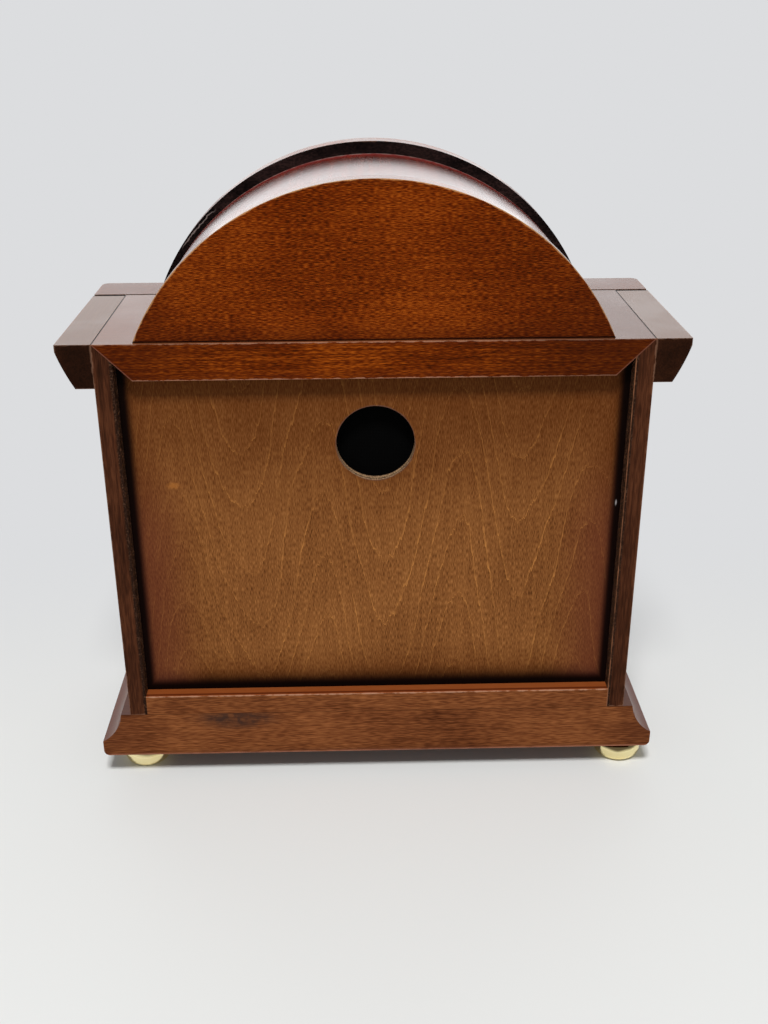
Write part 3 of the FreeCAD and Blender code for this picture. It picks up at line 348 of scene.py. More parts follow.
def threeTones(tree, value, tones):
    # A value of 0 to 1 runs from the dark tone through the middle one to the light one
    dark, middle, light = (srgb(*tone) for tone in tones)
    lower = mixColours(tree, spread(tree, value, 0.0, 0.5, smooth=False), dark, middle)
    return mixColours(tree, spread(tree, value, 0.5, 1.0, smooth=False), lower, light)


def grainTone(tree, grain, weights):
    # Half, plus each grain output's distance from half times its weight
    tone = 0.5 - sum(weights) / 2
    for output, weight in zip(("Streaks", "Flecks", "Clouds"), weights):
        tone = mathNode(tree, "MULTIPLY_ADD", grain[output], weight, tone)
    return tone


def lacquer(tree, shader, facing, upright, level, rough):
    # Thick gloss lies on the faces that look up; upright faces were rubbed thin
    shader.inputs["Specular IOR Level"].default_value = 0.02
    shader.inputs["Coat Roughness"].default_value = rough
    feed(tree, shader.inputs["Coat Weight"], spread(tree, facing[2], 0.12, 0.5, upright, level))


def dress(name, material):
    mesh = nodes[name].data
    mesh.materials.clear()
    mesh.materials.append(material)


alongX, alongY, alongZ = (1, 0, 0), (0, 1, 0), (0, 0, 1)
domeLow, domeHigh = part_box("dome_back")
domeRise = domeHigh[2] - domeLow[2]
domeHalf = (domeHigh[0] - domeLow[0]) / 2
domeRadius = (domeHalf ** 2 + domeRise ** 2) / (2 * domeRise)
domeCentre = (0, 0, domeHigh[2] - domeRadius)
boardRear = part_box("front_tympanum")[1][1]

# Painted shade of an open joint's gap: dark up to the first distance of its reach, fading out by the
# second
openJointShade = {"reach": (0.3 * mm, 1.0 * mm), "colour": (10, 6, 5)}
arrisWearAndHighlight = {"width": 0.5 * mm, "colour": (188, 140, 112)}
topToneShare = 0.7

# Tones run dark, middle, light; weights are for streaks, flecks and clouds, which are counted per
# metre; the lengths squeeze the noise along the board, so a smaller one draws longer marks
woods = {
    "dome": {
        "tones": ((54, 17, 1), (100, 35, 3), (148, 70, 14)), "weights": (0.22, 0.8, 0.24),
        "streaks": 900.0, "streakLength": 0.04, "flecks": 3400.0, "fleckLength": 0.12, "clouds": 20.0,
    },
    "rail": {
        "tones": ((46, 15, 1), (97, 35, 3), (154, 74, 13)), "weights": (0.42, 0.6, 0.2),
        "streaks": 1200.0, "streakLength": 0.03, "flecks": 3400.0, "fleckLength": 0.1, "clouds": 22.0,
    },
    "base": {
        "tones": ((58, 26, 12), (110, 61, 32), (150, 92, 52)), "weights": (0.22, 0.5, 0.3),
        "streaks": 1000.0, "streakLength": 0.03, "flecks": 3000.0, "fleckLength": 0.07, "clouds": 22.0,
    },
    "stile": {
        "tones": ((34, 17, 8), (64, 34, 20), (90, 52, 32)), "weights": (0.3, 0.34, 0.3),
        "streaks": 700.0, "streakLength": 0.03, "flecks": 2200.0, "fleckLength": 0.08, "clouds": 30.0,
    },
    "endGrain": {
        "tones": ((20, 9, 4), (37, 18, 9), (54, 29, 16)), "weights": (0.2, 0.3, 0.4),
        "streaks": 400.0, "streakLength": 0.5, "flecks": 1900.0, "fleckLength": 0.8, "clouds": 60.0,
    },
    "shell": {
        "tones": ((50, 14, 8), (92, 30, 16), (134, 58, 34)), "weights": (0.35, 0.3, 0.3),
        "streaks": 300.0, "streakLength": 0.03, "flecks": 2000.0, "fleckLength": 0.08, "clouds": 26.0,
    },
    "front": {
        "tones": ((50, 18, 5), (102, 40, 9), (150, 74, 24)), "weights": (0.26, 0.66, 0.24),
        "streaks": 900.0, "streakLength": 0.04, "flecks": 3200.0, "fleckLength": 0.14, "clouds": 20.0,
    },
    "ebonised": {
        "tones": ((9, 6, 6), (25, 17, 16), (44, 31, 29)), "weights": (0.3, 0.6, 0.5),
        "streaks": 400.0, "streakLength": 0.1, "flecks": 2000.0, "fleckLength": 0.5, "clouds": 50.0,
    },
    "stage": {
        "tones": ((24, 13, 9), (52, 28, 18), (80, 46, 30)), "weights": (0.6, 0.5, 0.5),
        "streaks": 500.0, "streakLength": 0.04, "flecks": 2000.0, "fleckLength": 0.14, "clouds": 26.0,
    },
}


def woodGrain(tree, place, kind, along, seed):
    wood = woods[kind]
    grain = placeGroup(
        tree, grainGroup, place, Along=along, Seed=seed, Streaks_per_metre=wood["streaks"],
        Streak_length=wood["streakLength"], Flecks_per_metre=wood["flecks"],
        Fleck_length=wood["fleckLength"], Clouds_per_metre=wood["clouds"],
    )
    return grain, threeTones(tree, grainTone(tree, grain, wood["weights"]), wood["tones"])


def stainedWood(
    name, kind, along, rearKind=None, worn=0.55, toner=None, gloss=(0.0, 0.6, 0.1), topTone=None,
    stretch=((0, 0, 0), (0, 0, 0)),
):
    # Toner is its three widths, its share and its colour; gloss is the coat on upright faces, on
    # faces that look up, and its roughness
    material, tree, shader, place, facing = newMaterial(name + "Wood")
    # Stretching the box past a joint keeps the edge effects off that joint
    low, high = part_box(name)
    low = tuple(np.array(low) - stretch[0])
    high = tuple(np.array(high) + stretch[1])
    seed = sum(ord(letter) for letter in name) % 97 * 0.37
    grain, body = woodGrain(tree, place, kind, along, seed)
    rearward = spread(tree, facing[1], 0.5, 0.8)
    if rearKind:
        body = mixColours(tree, rearward, body, woodGrain(tree, place, rearKind, along, seed + 11.0)[1])
    upward = spread(tree, facing[2], 0.5, 0.8)
    if topTone:
        body = mixColours(tree, times(tree, upward, topToneShare), body, srgb(*topTone))
    if toner:
        sideWidth, lowWidth, highWidth, tonerShare, colour = toner
        edge = placeGroup(
            tree, tonerAndShadeGroup, place, Low=low, High=high, Side_width=sideWidth, Low_width=lowWidth,
            High_width=highWidth, Seed=seed,
        )
        body = mixColours(tree, times(tree, edge["Toner"], tonerShare), body, srgb(*colour))
    # Pale arris lines: worn finish and a painted highlight of the rounded edges
    arris = placeGroup(
        tree, arrisGroup, place, Low=low, High=high, Width=arrisWearAndHighlight["width"], Seed=seed,
    )
    body = mixColours(tree, times(tree, arris["Worn"], worn), body, srgb(*arrisWearAndHighlight["colour"]))
    feed(tree, shader.inputs["Base Color"], body)
    feed(tree, shader.inputs["Roughness"], spread(tree, grain["Clouds"], 0.0, 1.0, 0.3, 0.44))
    lacquer(tree, shader, facing, *gloss)
    bump(tree, shader, grain["Height"], 0.12, 0.0002)
    dress(name, material)
    return tree, shader, place, rearward, upward


def addOver(tree, shader, mask, colour):
    # Lays one more colour over what already feeds a material's base colour
    under = shader.inputs["Base Color"].links[0].from_socket
    feed(tree, shader.inputs["Base Color"], mixColours(tree, mask, under, srgb(*colour)))


def addPaintedDark(tree, shader, mask):
    # Painted dark with no gloss: shade in an open joint's gap, and elsewhere a dark reflection
    addOver(tree, shader, mask, openJointShade["colour"])
    coat = shader.inputs["Coat Weight"].links[0].from_socket
    dull = times(tree, coat, minus(tree, 1.0, mask))
    feed(tree, shader.inputs["Coat Weight"], dull)


endDarkening = {"left": (-120.0 * mm, -20.0 * mm), "right": (40.0 * mm, 120.0 * mm), "colour": (44, 15, 4)}


def addEndDarkening(tree, shader, x, amount):
    # The colour darkens towards the -X end, and half as much towards the other
    addOver(tree, shader, spread(tree, x, *endDarkening["left"], amount, 0.0), endDarkening["colour"])
    addOver(tree, shader, spread(tree, x, *endDarkening["right"], 0.0, amount * 0.5), endDarkening["colour"])


domeBack = {
    "finish": {"worn": 0.0, "toner": (30.0 * mm, 12.0 * mm, 4.0 * mm, 0.35, (58, 20, 6))},
    "rimWidth": 0.6 * mm, "rimShare": 0.7, "rim": (200, 146, 92), "endDarkening": 0.3,
    "footGapShade": (0.4 * mm, 1.2 * mm), "footShare": 0.9,
}


def dressDome():
    # A rim rubbed pale, partly a painted highlight, and painted shade in the open joint along the foot
    tree, shader, place, rearward, upward = stainedWood("dome_back", "dome", alongX, **domeBack["finish"])
    rim = placeGroup(
        tree, rimGroup, place, Centre=domeCentre, Radius=domeRadius, Width=domeBack["rimWidth"], Seed=2.0,
    )
    rubbed = times(tree, times(tree, rim["Worn"], rearward), domeBack["rimShare"])
    addOver(tree, shader, rubbed, domeBack["rim"])
    x, y, z = split(tree, place)
    addEndDarkening(tree, shader, x, domeBack["endDarkening"])
    # Painted shade in the open joint along the foot
    above = minus(tree, z, domeLow[2])
    foot = spread(tree, above, *domeBack["footGapShade"], domeBack["footShare"], 0.0)
    addPaintedDark(tree, shader, times(tree, foot, rearward))


topBoard = {
    "finish": {
        "worn": 0.5, "toner": (60.0 * mm, 7.0 * mm, 3.0 * mm, 0.4, (70, 24, 8)),
        "topTone": (146, 88, 52), "gloss": (0.0, 0.54, 0.1),
    },
    "mitreLine": (0.2 * mm, 1.0 * mm), "mitreShare": 0.35, "mitre": (150, 100, 82), "endDarkening": 0.55,
}


def dressRail():
    # The mitre's line runs where the depth below the board's top equals the way in from its ends
    tree, shader, place, rearward, upward = stainedWood("top_board", "rail", alongX, **topBoard["finish"])
    low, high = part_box("top_board")
    x, y, z = split(tree, place)
    inward = minus(tree, high[0], mathNode(tree, "ABSOLUTE", x))
    off = minus(tree, inward, minus(tree, high[2], z))
    distance = mathNode(tree, "ABSOLUTE", off)
    line = spread(tree, distance, *topBoard["mitreLine"], topBoard["mitreShare"], 0.0)
    addEndDarkening(tree, shader, x, topBoard["endDarkening"])
    addOver(tree, shader, times(tree, line, rearward), topBoard["mitre"])
    # Painted shade in its open joints with the cornices on the top
    ahead = minus(tree, y, low[1])
    seam = spread(tree, mathNode(tree, "MINIMUM", inward, ahead), *openJointShade["reach"], 1.0, 0.0)
    addPaintedDark(tree, shader, times(tree, seam, upward))


archFront = {
    "finish": {"rearKind": "ebonised", "worn": 0.2, "gloss": (0.0, 0.36, 0.12)},
    "beyondDome": 0.9 * mm, "wander": 6.0 * mm, "scratchWidth": 0.4 * mm, "scratchShare": 0.5,
    "begins": (79.0 * mm, 83.0 * mm), "ends": (97.0 * mm, 99.0 * mm), "scratch": (170, 156, 150),
}


def dressArch():
    for name in ("front_tympanum", "arch_moulding", "front_bottom_rail"):
        tree, shader, place, rearward, upward = stainedWood(name, "front", alongX, **archFront["finish"])
        if name != "front_tympanum":
            continue
        # A hair scratch along the arch's black rear face: a circle whose radius wanders with a noise
        radius = domeRadius + archFront["beyondDome"]
        ring = placeGroup(tree, rimGroup, place, Centre=domeCentre, Radius=radius)
        wander = minus(tree, noise(tree, place, 110.0, 3.0, 0.6, 3.0), 0.5)
        off = minus(tree, ring["Outside"], times(tree, wander, archFront["wander"]))
        distance = mathNode(tree, "ABSOLUTE", off)
        line = spread(tree, distance, 0.0, archFront["scratchWidth"], archFront["scratchShare"], 0.0)
        x = split(tree, place)[0]
        begun = spread(tree, x, *archFront["begins"])
        ended = spread(tree, x, *archFront["ends"], 1.0, 0.0)
        kept = times(tree, line, times(tree, begun, ended))
        addOver(tree, shader, times(tree, kept, rearward), archFront["scratch"])


sidePanel = {
    "finish": {"rearKind": "stile", "worn": 0.2}, "ragged": 2.0 * mm, "wallShadeDepth": 0.8 * mm,
    "rough": (36, 21, 14), "specks": (156, 112, 84), "wallSpecks": 0.85, "rearSpecks": 0.2,
    "rubbedLine": (0.3 * mm, 0.6 * mm), "rubbed": (150, 98, 68),
}
sideCornice = {"rearKind": "endGrain", "worn": 0.15, "topTone": (106, 70, 46), "gloss": (0.0, 0.51, 0.1)}


def dressSides():
    # The inner walls of the recess get painted shade, dark and ragged, with pale specks of glue and dust
    for side in ("left", "right"):
        name = side + "_side_panel"
        tree, shader, place, rearward, upward = stainedWood(name, "front", alongZ, **sidePanel["finish"])
        innerX = min(abs(corner[0]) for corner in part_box(name))
        x, y, z = split(tree, place)
        depth = minus(tree, mathNode(tree, "ABSOLUTE", x), innerX)
        ragged = times(tree, noise(tree, place, 500.0, 3.0, 0.6, 2.0), sidePanel["ragged"])
        beyond = minus(tree, depth, ragged)
        rough = spread(tree, beyond, 0.0, sidePanel["wallShadeDepth"], 1.0, 0.0)
        # The rough colour is painted shade on the recess's inner walls
        addOver(tree, shader, rough, sidePanel["rough"])
        specks = spread(tree, noise(tree, place, 1300.0, 2.0, 0.6, 5.0), 0.52, 0.64)
        amount = spread(tree, rearward, 0.0, 1.0, sidePanel["wallSpecks"], sidePanel["rearSpecks"])
        strewn = times(tree, rough, amount)
        addOver(tree, shader, times(tree, specks, strewn), sidePanel["specks"])
        if side == "left":
            # A rubbed line on the rear face along the inner arris
            broken = spread(tree, noise(tree, place, 120.0, 3.0, 0.6, 9.0), 0.35, 0.6, 0.1, 0.7)
            line = spread(tree, depth, *sidePanel["rubbedLine"], 1.0, 0.0)
            line = times(tree, line, broken)
            addOver(tree, shader, times(tree, line, rearward), sidePanel["rubbed"])
        name = side + "_cornice"
        tree, shader, place, rearward, upward = stainedWood(name, "stile", alongY, **sideCornice)
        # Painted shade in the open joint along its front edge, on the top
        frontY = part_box(name)[0][1]
        behind = minus(tree, split(tree, place)[1], frontY)
        seam = spread(tree, behind, *openJointShade["reach"], 1.0, 0.0)
        addPaintedDark(tree, shader, times(tree, seam, upward))


baseToner = (30.0 * mm, 4.0 * mm, 0.1 * mm, 0.4, (66, 30, 20))
basePlinth = {
    "finish": {
        "worn": 0.15, "toner": baseToner, "stretch": ((0, 0, 0), (0, 0, 20.0 * mm)),
        "topTone": (116, 70, 56), "gloss": (0.0, 0.45, 0.12),
    },
    "reflectionShare": 0.45, "smudgePlace": (75.0 * mm, 60.0 * mm, 36.0 * mm),
    "smudgeReach": (30.0 * mm, 20.0 * mm, 9.0 * mm), "smudge": (58, 40, 33),
    "rubbedEdge": (0.4 * mm, 1.2 * mm), "rubbed": (176, 118, 94),
}
bottomBoard = {
    "finish": {
        "worn": 0.8, "toner": baseToner, "stretch": ((20.0 * mm, 0, 20.0 * mm), (20.0 * mm, 0, 0)),
        "topTone": (178, 92, 38), "gloss": (0.0, 0.12, 0.2),
    },
    "glueFromEdge": 1.9 * mm, "glueLine": (0.4 * mm, 1.1 * mm), "glueShare": 0.8, "glue": (72, 22, 8),
}


def dressBase():
    tree, shader, place, rearward, upward = stainedWood(
        "base_plinth", "base", alongX, **basePlinth["finish"],
    )
    low, high = (corner[2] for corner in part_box("base_plinth"))
    z = split(tree, place)[2]
    # Painted reflection: its flat top beside the case is darkened as if it mirrored the dark sides
    flat = spread(tree, z, high - 0.6 * mm, high - 0.2 * mm)
    addPaintedDark(tree, shader, times(tree, flat, basePlinth["reflectionShare"]))
    # A dark smudge: nearness to its middle, measured in its own reach, and broken by a noise
    offset = vectorNode(tree, "SUBTRACT", place, basePlinth["smudgePlace"])
    away = vectorNode(tree, "DIVIDE", offset, basePlinth["smudgeReach"])
    near = spread(tree, vectorNode(tree, "LENGTH", away), 0.2, 1.0, 1.0, 0.0)
    broken = spread(tree, noise(tree, place, 160.0, 3.0, 0.6, 8.0), 0.35, 0.6, 0.45, 0.95)
    addOver(tree, shader, times(tree, near, broken), basePlinth["smudge"])
    # A rubbed line along its lower edge
    above = minus(tree, z, low)
    edge = spread(tree, above, *basePlinth["rubbedEdge"], 0.5, 0.0)
    rubbed = times(tree, edge, times(tree, broken, rearward))
    addOver(tree, shader, rubbed, basePlinth["rubbed"])
    tree, shader, place, rearward, upward = stainedWood(
        "bottom_board", "base", alongX, **bottomBoard["finish"],
    )
    # A dark glue line along its ledge, just inside the rubbed edge
    inside = minus(tree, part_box("bottom_board")[1][1], split(tree, place)[1])
    off = mathNode(tree, "ABSOLUTE", minus(tree, inside, bottomBoard["glueFromEdge"]))
    line = spread(tree, off, *bottomBoard["glueLine"], bottomBoard["glueShare"], 0.0)
    addOver(tree, shader, times(tree, line, upward), bottomBoard["glue"])


domeShell = {
    "finish": {"worn": 0.0, "gloss": (0.0, 0.85, 0.2)}, "redReach": 16.0 * mm, "red": (150, 50, 48),
    "wornLine": (1.0 * mm, 4.0 * mm), "lineShare": 0.8, "line": (178, 150, 140),
}


def dressShell():
    # Redder towards the arched front board, with a worn line where they meet
    tree, shader, place, rearward, upward = stainedWood(
        "dome_shell", "shell", alongY, **domeShell["finish"],
    )
    behind = minus(tree, split(tree, place)[1], boardRear)
    broken = spread(tree, noise(tree, place, 300.0, 2.0, 0.6, 4.0), 0.35, 0.6)
    line = spread(tree, behind, *domeShell["wornLine"], domeShell["lineShare"], 0.0)
    addOver(tree, shader, spread(tree, behind, 0.0, domeShell["redReach"], 0.8, 0.0), domeShell["red"])
    addOver(tree, shader, times(tree, line, broken), domeShell["line"])


dressDome()
dressRail()
dressShell()
dressSides()
dressBase()
dressArch()
stainedWood(
    "front_cornice", "front", alongX, rearKind="ebonised", worn=0.2, topTone=(100, 72, 62),
    gloss=(0.0, 0.4, 0.1),
)
for name in ("door_bottom_rail", "door_top_rail", "glass_beads"):
    stainedWood(name, "front", alongX, worn=0.3)
for name in ("front_left_stile", "front_right_stile", "door_left_stile", "door_right_stile"):
    stainedWood(name, "front", alongZ, worn=0.3)
for name in ("stage_board", "stage_bearers"):
    stainedWood(name, "stage", alongX, worn=0.2, gloss=(0.02, 0.3, 0.2))
print("wood dressed")

panel = {
    "tones": ((74, 40, 16), (128, 79, 40), (164, 110, 60)), "weights": (0.16, 0.56, 0.14),
    "holeRadius": 19.0 * mm, "columnPlace": 62.0 * mm, "columnSpacing": 67.5 * mm,
    # The edge colour is painted shade at the recess's edges
    "lines": (190, 128, 66), "lineShare": 0.76, "toner": (74, 31, 4), "edge": (10, 4, 3),
    "wideTonerAndShade": {"Side_width": 44.0 * mm, "Low_width": 30.0 * mm, "High_width": 120.0 * mm, "Seed": 1.4},
    "narrowTonerAndShade": {"Side_width": 8.0 * mm, "Low_width": 14.0 * mm, "High_width": 3.0 * mm, "Seed": 8.4},
    "wideShare": 0.68, "narrowShare": 0.9, "blush": (124, 62, 56), "blushShare": 0.2,
    "blushReach": (6.0 * mm, 36.0 * mm), "blushTop": (130.0 * mm, 190.0 * mm),
    "footShade": (2.0 * mm, 8.0 * mm), "sideShade": (2.0 * mm, 6.0 * mm), "shadeDepth": 0.97,
    "holeStain": 14.0 * mm, "holeRim": (92, 72, 66),
    "rawPly": (178, 144, 108), "glueLine": (66, 48, 36), "plies": 3,
    # Marks: place across and up, half width, half height and colour
    "marks": (
        (98.6 * mm, 166.4 * mm, 3.6 * mm, 2.2 * mm, (160, 100, 46)),
        (-118.9 * mm, 154.0 * mm, 0.5 * mm, 2.2 * mm, (176, 170, 170)),
    ),
}


def dressPanel():
    material, tree, shader, place, facing = newMaterial("plywoodPanel")
    low, high = (tuple(corner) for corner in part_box("back_panel"))
    hole = next(row for row in frame["record"]["physics"]["openings"] if row["name"] == "back_hole")
    holeCentre = (0, 0, (hole["box_m"][0][2] + hole["box_m"][1][2]) / 2)
    grain = placeGroup(
        tree, grainGroup, place, Along=alongZ, Seed=5.3, Streaks_per_metre=800.0, Streak_length=0.04,
        Flecks_per_metre=3400.0, Fleck_length=0.12, Clouds_per_metre=16.0,
    )
    figure = placeGroup(
        tree, figureGroup, place, Seed=2.6, Column_place=panel["columnPlace"],
        Column_spacing=panel["columnSpacing"],
    )
    tone = grainTone(tree, grain, panel["weights"])
    tone = mathNode(tree, "MULTIPLY_ADD", figure["Bands"], -0.1, tone)
    body = threeTones(tree, plus(tree, tone, 0.04), panel["tones"])
    drawn = times(tree, figure["Lines"], panel["lineShare"])
    body = mixColours(tree, drawn, body, srgb(*panel["lines"]))
    rim = placeGroup(
        tree, rimGroup, place, Centre=holeCentre, Radius=panel["holeRadius"], Width=0.0005, Seed=3.0,
    )
    around = spread(tree, rim["Outside"], 0.0, panel["holeStain"], 0.5, 0.0)
    # Toner towards the edges; its wide reach from the top also paints shade under the rail
    wide = placeGroup(tree, tonerAndShadeGroup, place, Low=low, High=high, **panel["wideTonerAndShade"])
    toned = mathNode(tree, "MAXIMUM", times(tree, wide["Toner"], panel["wideShare"]), around)
    body = mixColours(tree, toned, body, srgb(*panel["toner"]))
    # Painted shade along the recess's edges, over dark toner
    narrow = placeGroup(tree, tonerAndShadeGroup, place, Low=low, High=high, **panel["narrowTonerAndShade"])
    dark = times(tree, narrow["Toner"], panel["narrowShare"])
    body = mixColours(tree, dark, body, srgb(*panel["edge"]))
    # A red blush towards both sides, and painted contact shade, over a dark stained gap, along them and
    # the foot
    x, y, z = split(tree, place)
    inward = minus(tree, high[0], mathNode(tree, "ABSOLUTE", x))
    nearSide = spread(tree, inward, *panel["blushReach"], panel["blushShare"], 0.0)
    blush = times(tree, nearSide, spread(tree, z, *panel["blushTop"], 1.0, 0.1))
    body = mixColours(tree, blush, body, srgb(*panel["blush"]))
    upwards = minus(tree, z, low[2])
    footShade = spread(tree, upwards, *panel["footShade"], panel["shadeDepth"], 0.0)
    sideShade = spread(tree, inward, *panel["sideShade"], panel["shadeDepth"], 0.0)
    body = mixColours(tree, mathNode(tree, "MAXIMUM", footShade, sideShade), body, srgb(*panel["edge"]))
    body = mixColours(tree, times(tree, rim["Worn"], 0.5), body, srgb(*panel["holeRim"]))
    # Small pale marks: nearness to each place, measured in its own reach and roughened by a noise
    rough = times(tree, noise(tree, place, 900.0, 2.0, 0.6, 7.0), 1.2)
    for markX, markZ, wideHalf, tallHalf, colour in panel["marks"]:
        off = vectorNode(tree, "SUBTRACT", place, (markX, 0, markZ))
        scaled = vectorNode(tree, "MULTIPLY", off, (1 / wideHalf, 0.0, 1 / tallHalf))
        away = vectorNode(tree, "LENGTH", scaled)
        near = spread(tree, plus(tree, away, rough), 0.9, 1.7, 0.7, 0.0)
        body = mixColours(tree, near, body, srgb(*colour))
    # The hole's wall shows the plies, as bands through the thickness
    depth = mathNode(tree, "DIVIDE", minus(tree, y, low[1]), high[1] - low[1])
    band = mathNode(tree, "PINGPONG", times(tree, depth, panel["plies"]), 1.0)
    fuzz = mathNode(tree, "MULTIPLY_ADD", noise(tree, place, 1700.0, 1.0, 0.6, 6.0), 4.4, -2.1)
    pale = mathNode(tree, "ADD", spread(tree, band, 0.2, 0.7, 0.0, 0.6), fuzz, clamp=True)
    wallColour = mixColours(tree, pale, srgb(*panel["glueLine"]), srgb(*panel["rawPly"]))
    inside = spread(tree, rim["Outside"], 0.0002, 0.0004, 1.0, 0.0)
    flank = spread(tree, mathNode(tree, "ABSOLUTE", facing[1]), 0.3, 0.6, 1.0, 0.0)
    wall = times(tree, inside, flank)
    feed(tree, shader.inputs["Base Color"], mixColours(tree, wall, body, wallColour))
    feed(tree, shader.inputs["Roughness"], spread(tree, grain["Streaks"], 0.0, 1.0, 0.45, 0.58))
    lacquer(tree, shader, facing, 0.0, 0.1, 0.3)
    bump(tree, shader, grain["Height"], 0.1, 0.0002)
    dress("back_panel", material)


metals = {
    "polishedBrass": {
        "colour": (226, 190, 116), "tarnish": (168, 122, 62), "roughness": 0.14, "uneven": 0.12,
        "brushed": 0.05,
    },
    "footBrass": {
        "colour": (250, 235, 180), "tarnish": (236, 208, 134), "roughness": 0.03, "uneven": 0.03,
        "brushed": 0.01,
    },
    "groundSteel": {
        "colour": (178, 180, 184), "tarnish": (132, 134, 138), "roughness": 0.24, "uneven": 0.12,
        "brushed": 0.05,
    },
}


def metal(name):
    # Roughness is its own value, raised by the clouds and by the brush lines
    finish = metals[name]
    material, tree, shader, place, facing = newMaterial(name)
    brush = placeGroup(tree, brushGroup, place)
    stain = spread(tree, brush["Clouds"], 0.45, 0.75, 0.0, 0.4)
    stained = mixColours(tree, stain, srgb(*finish["colour"]), srgb(*finish["tarnish"]))
    feed(tree, shader.inputs["Base Color"], stained)
    shader.inputs["Metallic"].default_value = 1.0
    smooth, uneven = finish["roughness"], finish["uneven"]
    clouded = spread(tree, brush["Clouds"], 0.3, 0.7, smooth, smooth + uneven)
    lined = mathNode(tree, "MULTIPLY_ADD", brush["Lines"], uneven * 0.6, clouded)
    feed(tree, shader.inputs["Roughness"], lined)
    bump(tree, shader, brush["Lines"], finish["brushed"], 0.05 * mm)
    return material


def dressGlass():
    material, tree, shader, place, facing = newMaterial("clearPane")
    shader.inputs["Base Color"].default_value = (0.96, 0.98, 0.97, 1)
    shader.inputs["Transmission Weight"].default_value = 1.0
    shader.inputs["IOR"].default_value = 1.45
    shader.inputs["Specular IOR Level"].default_value = 0.3
    smear = spread(tree, noise(tree, place, 30.0, 4.0, 0.6, 3.0), 0.45, 0.8, 0.0, 0.015)
    feed(tree, shader.inputs["Roughness"], smear)
    dress("door_glass", material)


def dressCloth():
    # Plain weave: the product of two waves, one across and one up
    # Its near-nil albedo makes this lining paint the shade seen through the back panel's hole
    material, tree, shader, place, facing = newMaterial("blackClothHoleShade")
    threads = []
    for direction in ("X", "Z"):
        wave = addNode(tree, "ShaderNodeTexWave", bands_direction=direction)
        wave.inputs["Scale"].default_value = 420.0
        feed(tree, wave.inputs["Vector"], place)
        threads.append(wave.outputs["Fac"])
    weave = times(tree, *threads)
    black = mixColours(tree, weave, (0.0008, 0.0008, 0.0008), (0.003, 0.003, 0.003))
    feed(tree, shader.inputs["Base Color"], black)
    shader.inputs["Roughness"].default_value = 0.95
    shader.inputs["Specular IOR Level"].default_value = 0.02
    bump(tree, shader, weave, 0.3, 0.0002)
    dress("backdrop", material)


def dressCatch():
    material, tree, shader, place, facing = newMaterial("catchPlastic")
    grainy = noise(tree, place, 900.0, 2.0, 0.5, 6.0)
    plastic = mixColours(tree, grainy, (0.012, 0.012, 0.012), (0.03, 0.03, 0.03))
    feed(tree, shader.inputs["Base Color"], plastic)
    feed(tree, shader.inputs["Roughness"], spread(tree, grainy, 0.3, 0.7, 0.4, 0.55))
    bump(tree, shader, grainy, 0.1, 0.0001)
    dress("catch_magnet", material)


footUnderReflection = {"ragged": 4.0 * mm, "from": 4.6 * mm, "to": 6.4 * mm, "share": 0.9, "colour": (70, 50, 18)}


def paintFootReflection(material):
    # Painted reflection: the upper slope is darkened to stand for the base's dark underside mirrored in
    # it
    tree = material.node_tree
    place = tree.nodes["Texture Coordinate"].outputs["Object"]
    height = split(tree, place)[2]
    ragged = times(tree, noise(tree, place, 90.0, 1.0, 0.5, 4.0), footUnderReflection["ragged"])
    above = minus(tree, height, ragged)
    upper = spread(tree, above, footUnderReflection["from"], footUnderReflection["to"], 0.0, footUnderReflection["share"])
    addOver(tree, tree.nodes["Principled BSDF"], upper, footUnderReflection["colour"])


dressPanel()
dressGlass()
dressCloth()
dressCatch()
brass = metal("polishedBrass")
footBrass = metal("footBrass")
paintFootReflection(footBrass)
steel = metal("groundSteel")
for row in frame["record"]["subparts"]:
    if row["material_slot"] in ("brass", "steel"):
        dress(row["node"], brass if row["material_slot"] == "brass" else steel)
print("panel, glass, cloth and metals dressed")


# Turned, pinned and slotted pieces, each a surface worked out on a grid

def gridFaces(rows, columns, wrapRows=False, wrapColumns=True):
    # Quads between neighbouring rows and columns; where they wrap, the last meets the first
    row = np.arange(rows if wrapRows else rows - 1)[:, None]
    column = np.arange(columns if wrapColumns else columns - 1)[None, :]
    after = (column + 1) % columns
    below = (row + 1) % rows
    corners = ((row, column), (row, after), (below, after), (below, column))
    quads = [down * columns + along for down, along in corners]
    return np.stack(np.broadcast_arrays(*quads), axis=-1).reshape(-1, 4)


def addPiece(name, points, faces, material, body, replaced=(), sharp=35):
    mesh = bpy.data.meshes.new(name)
    mesh.from_pydata(np.asarray(points).reshape(-1, 3).tolist(), [], np.asarray(faces).tolist())
    work = bmesh.new()
    work.from_mesh(mesh)
    bmesh.ops.remove_doubles(work, verts=work.verts, dist=1e-6)
    bmesh.ops.dissolve_degenerate(work, edges=work.edges, dist=1e-6)
    bmesh.ops.recalc_face_normals(work, faces=work.faces)
    work.to_mesh(mesh)
    work.free()
    mesh.shade_smooth()
    mesh.set_sharp_from_angle(angle=math.radians(sharp))
    mesh.materials.append(material)
    piece = bpy.data.objects.new(name, mesh)
    bpy.context.scene.collection.objects.link(piece)
    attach(piece, body)
    if replaced:
        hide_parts(*replaced)


def arc(centre, radii, start, end, steps=10):
    # Points of an ellipse's arc: centre plus each radius times the cosine and sine of a turning angle
    turn = np.radians(np.linspace(start, end, steps))
    return np.stack([centre[0] + radii[0] * np.cos(turn), centre[1] + radii[1] * np.sin(turn)], axis=1)


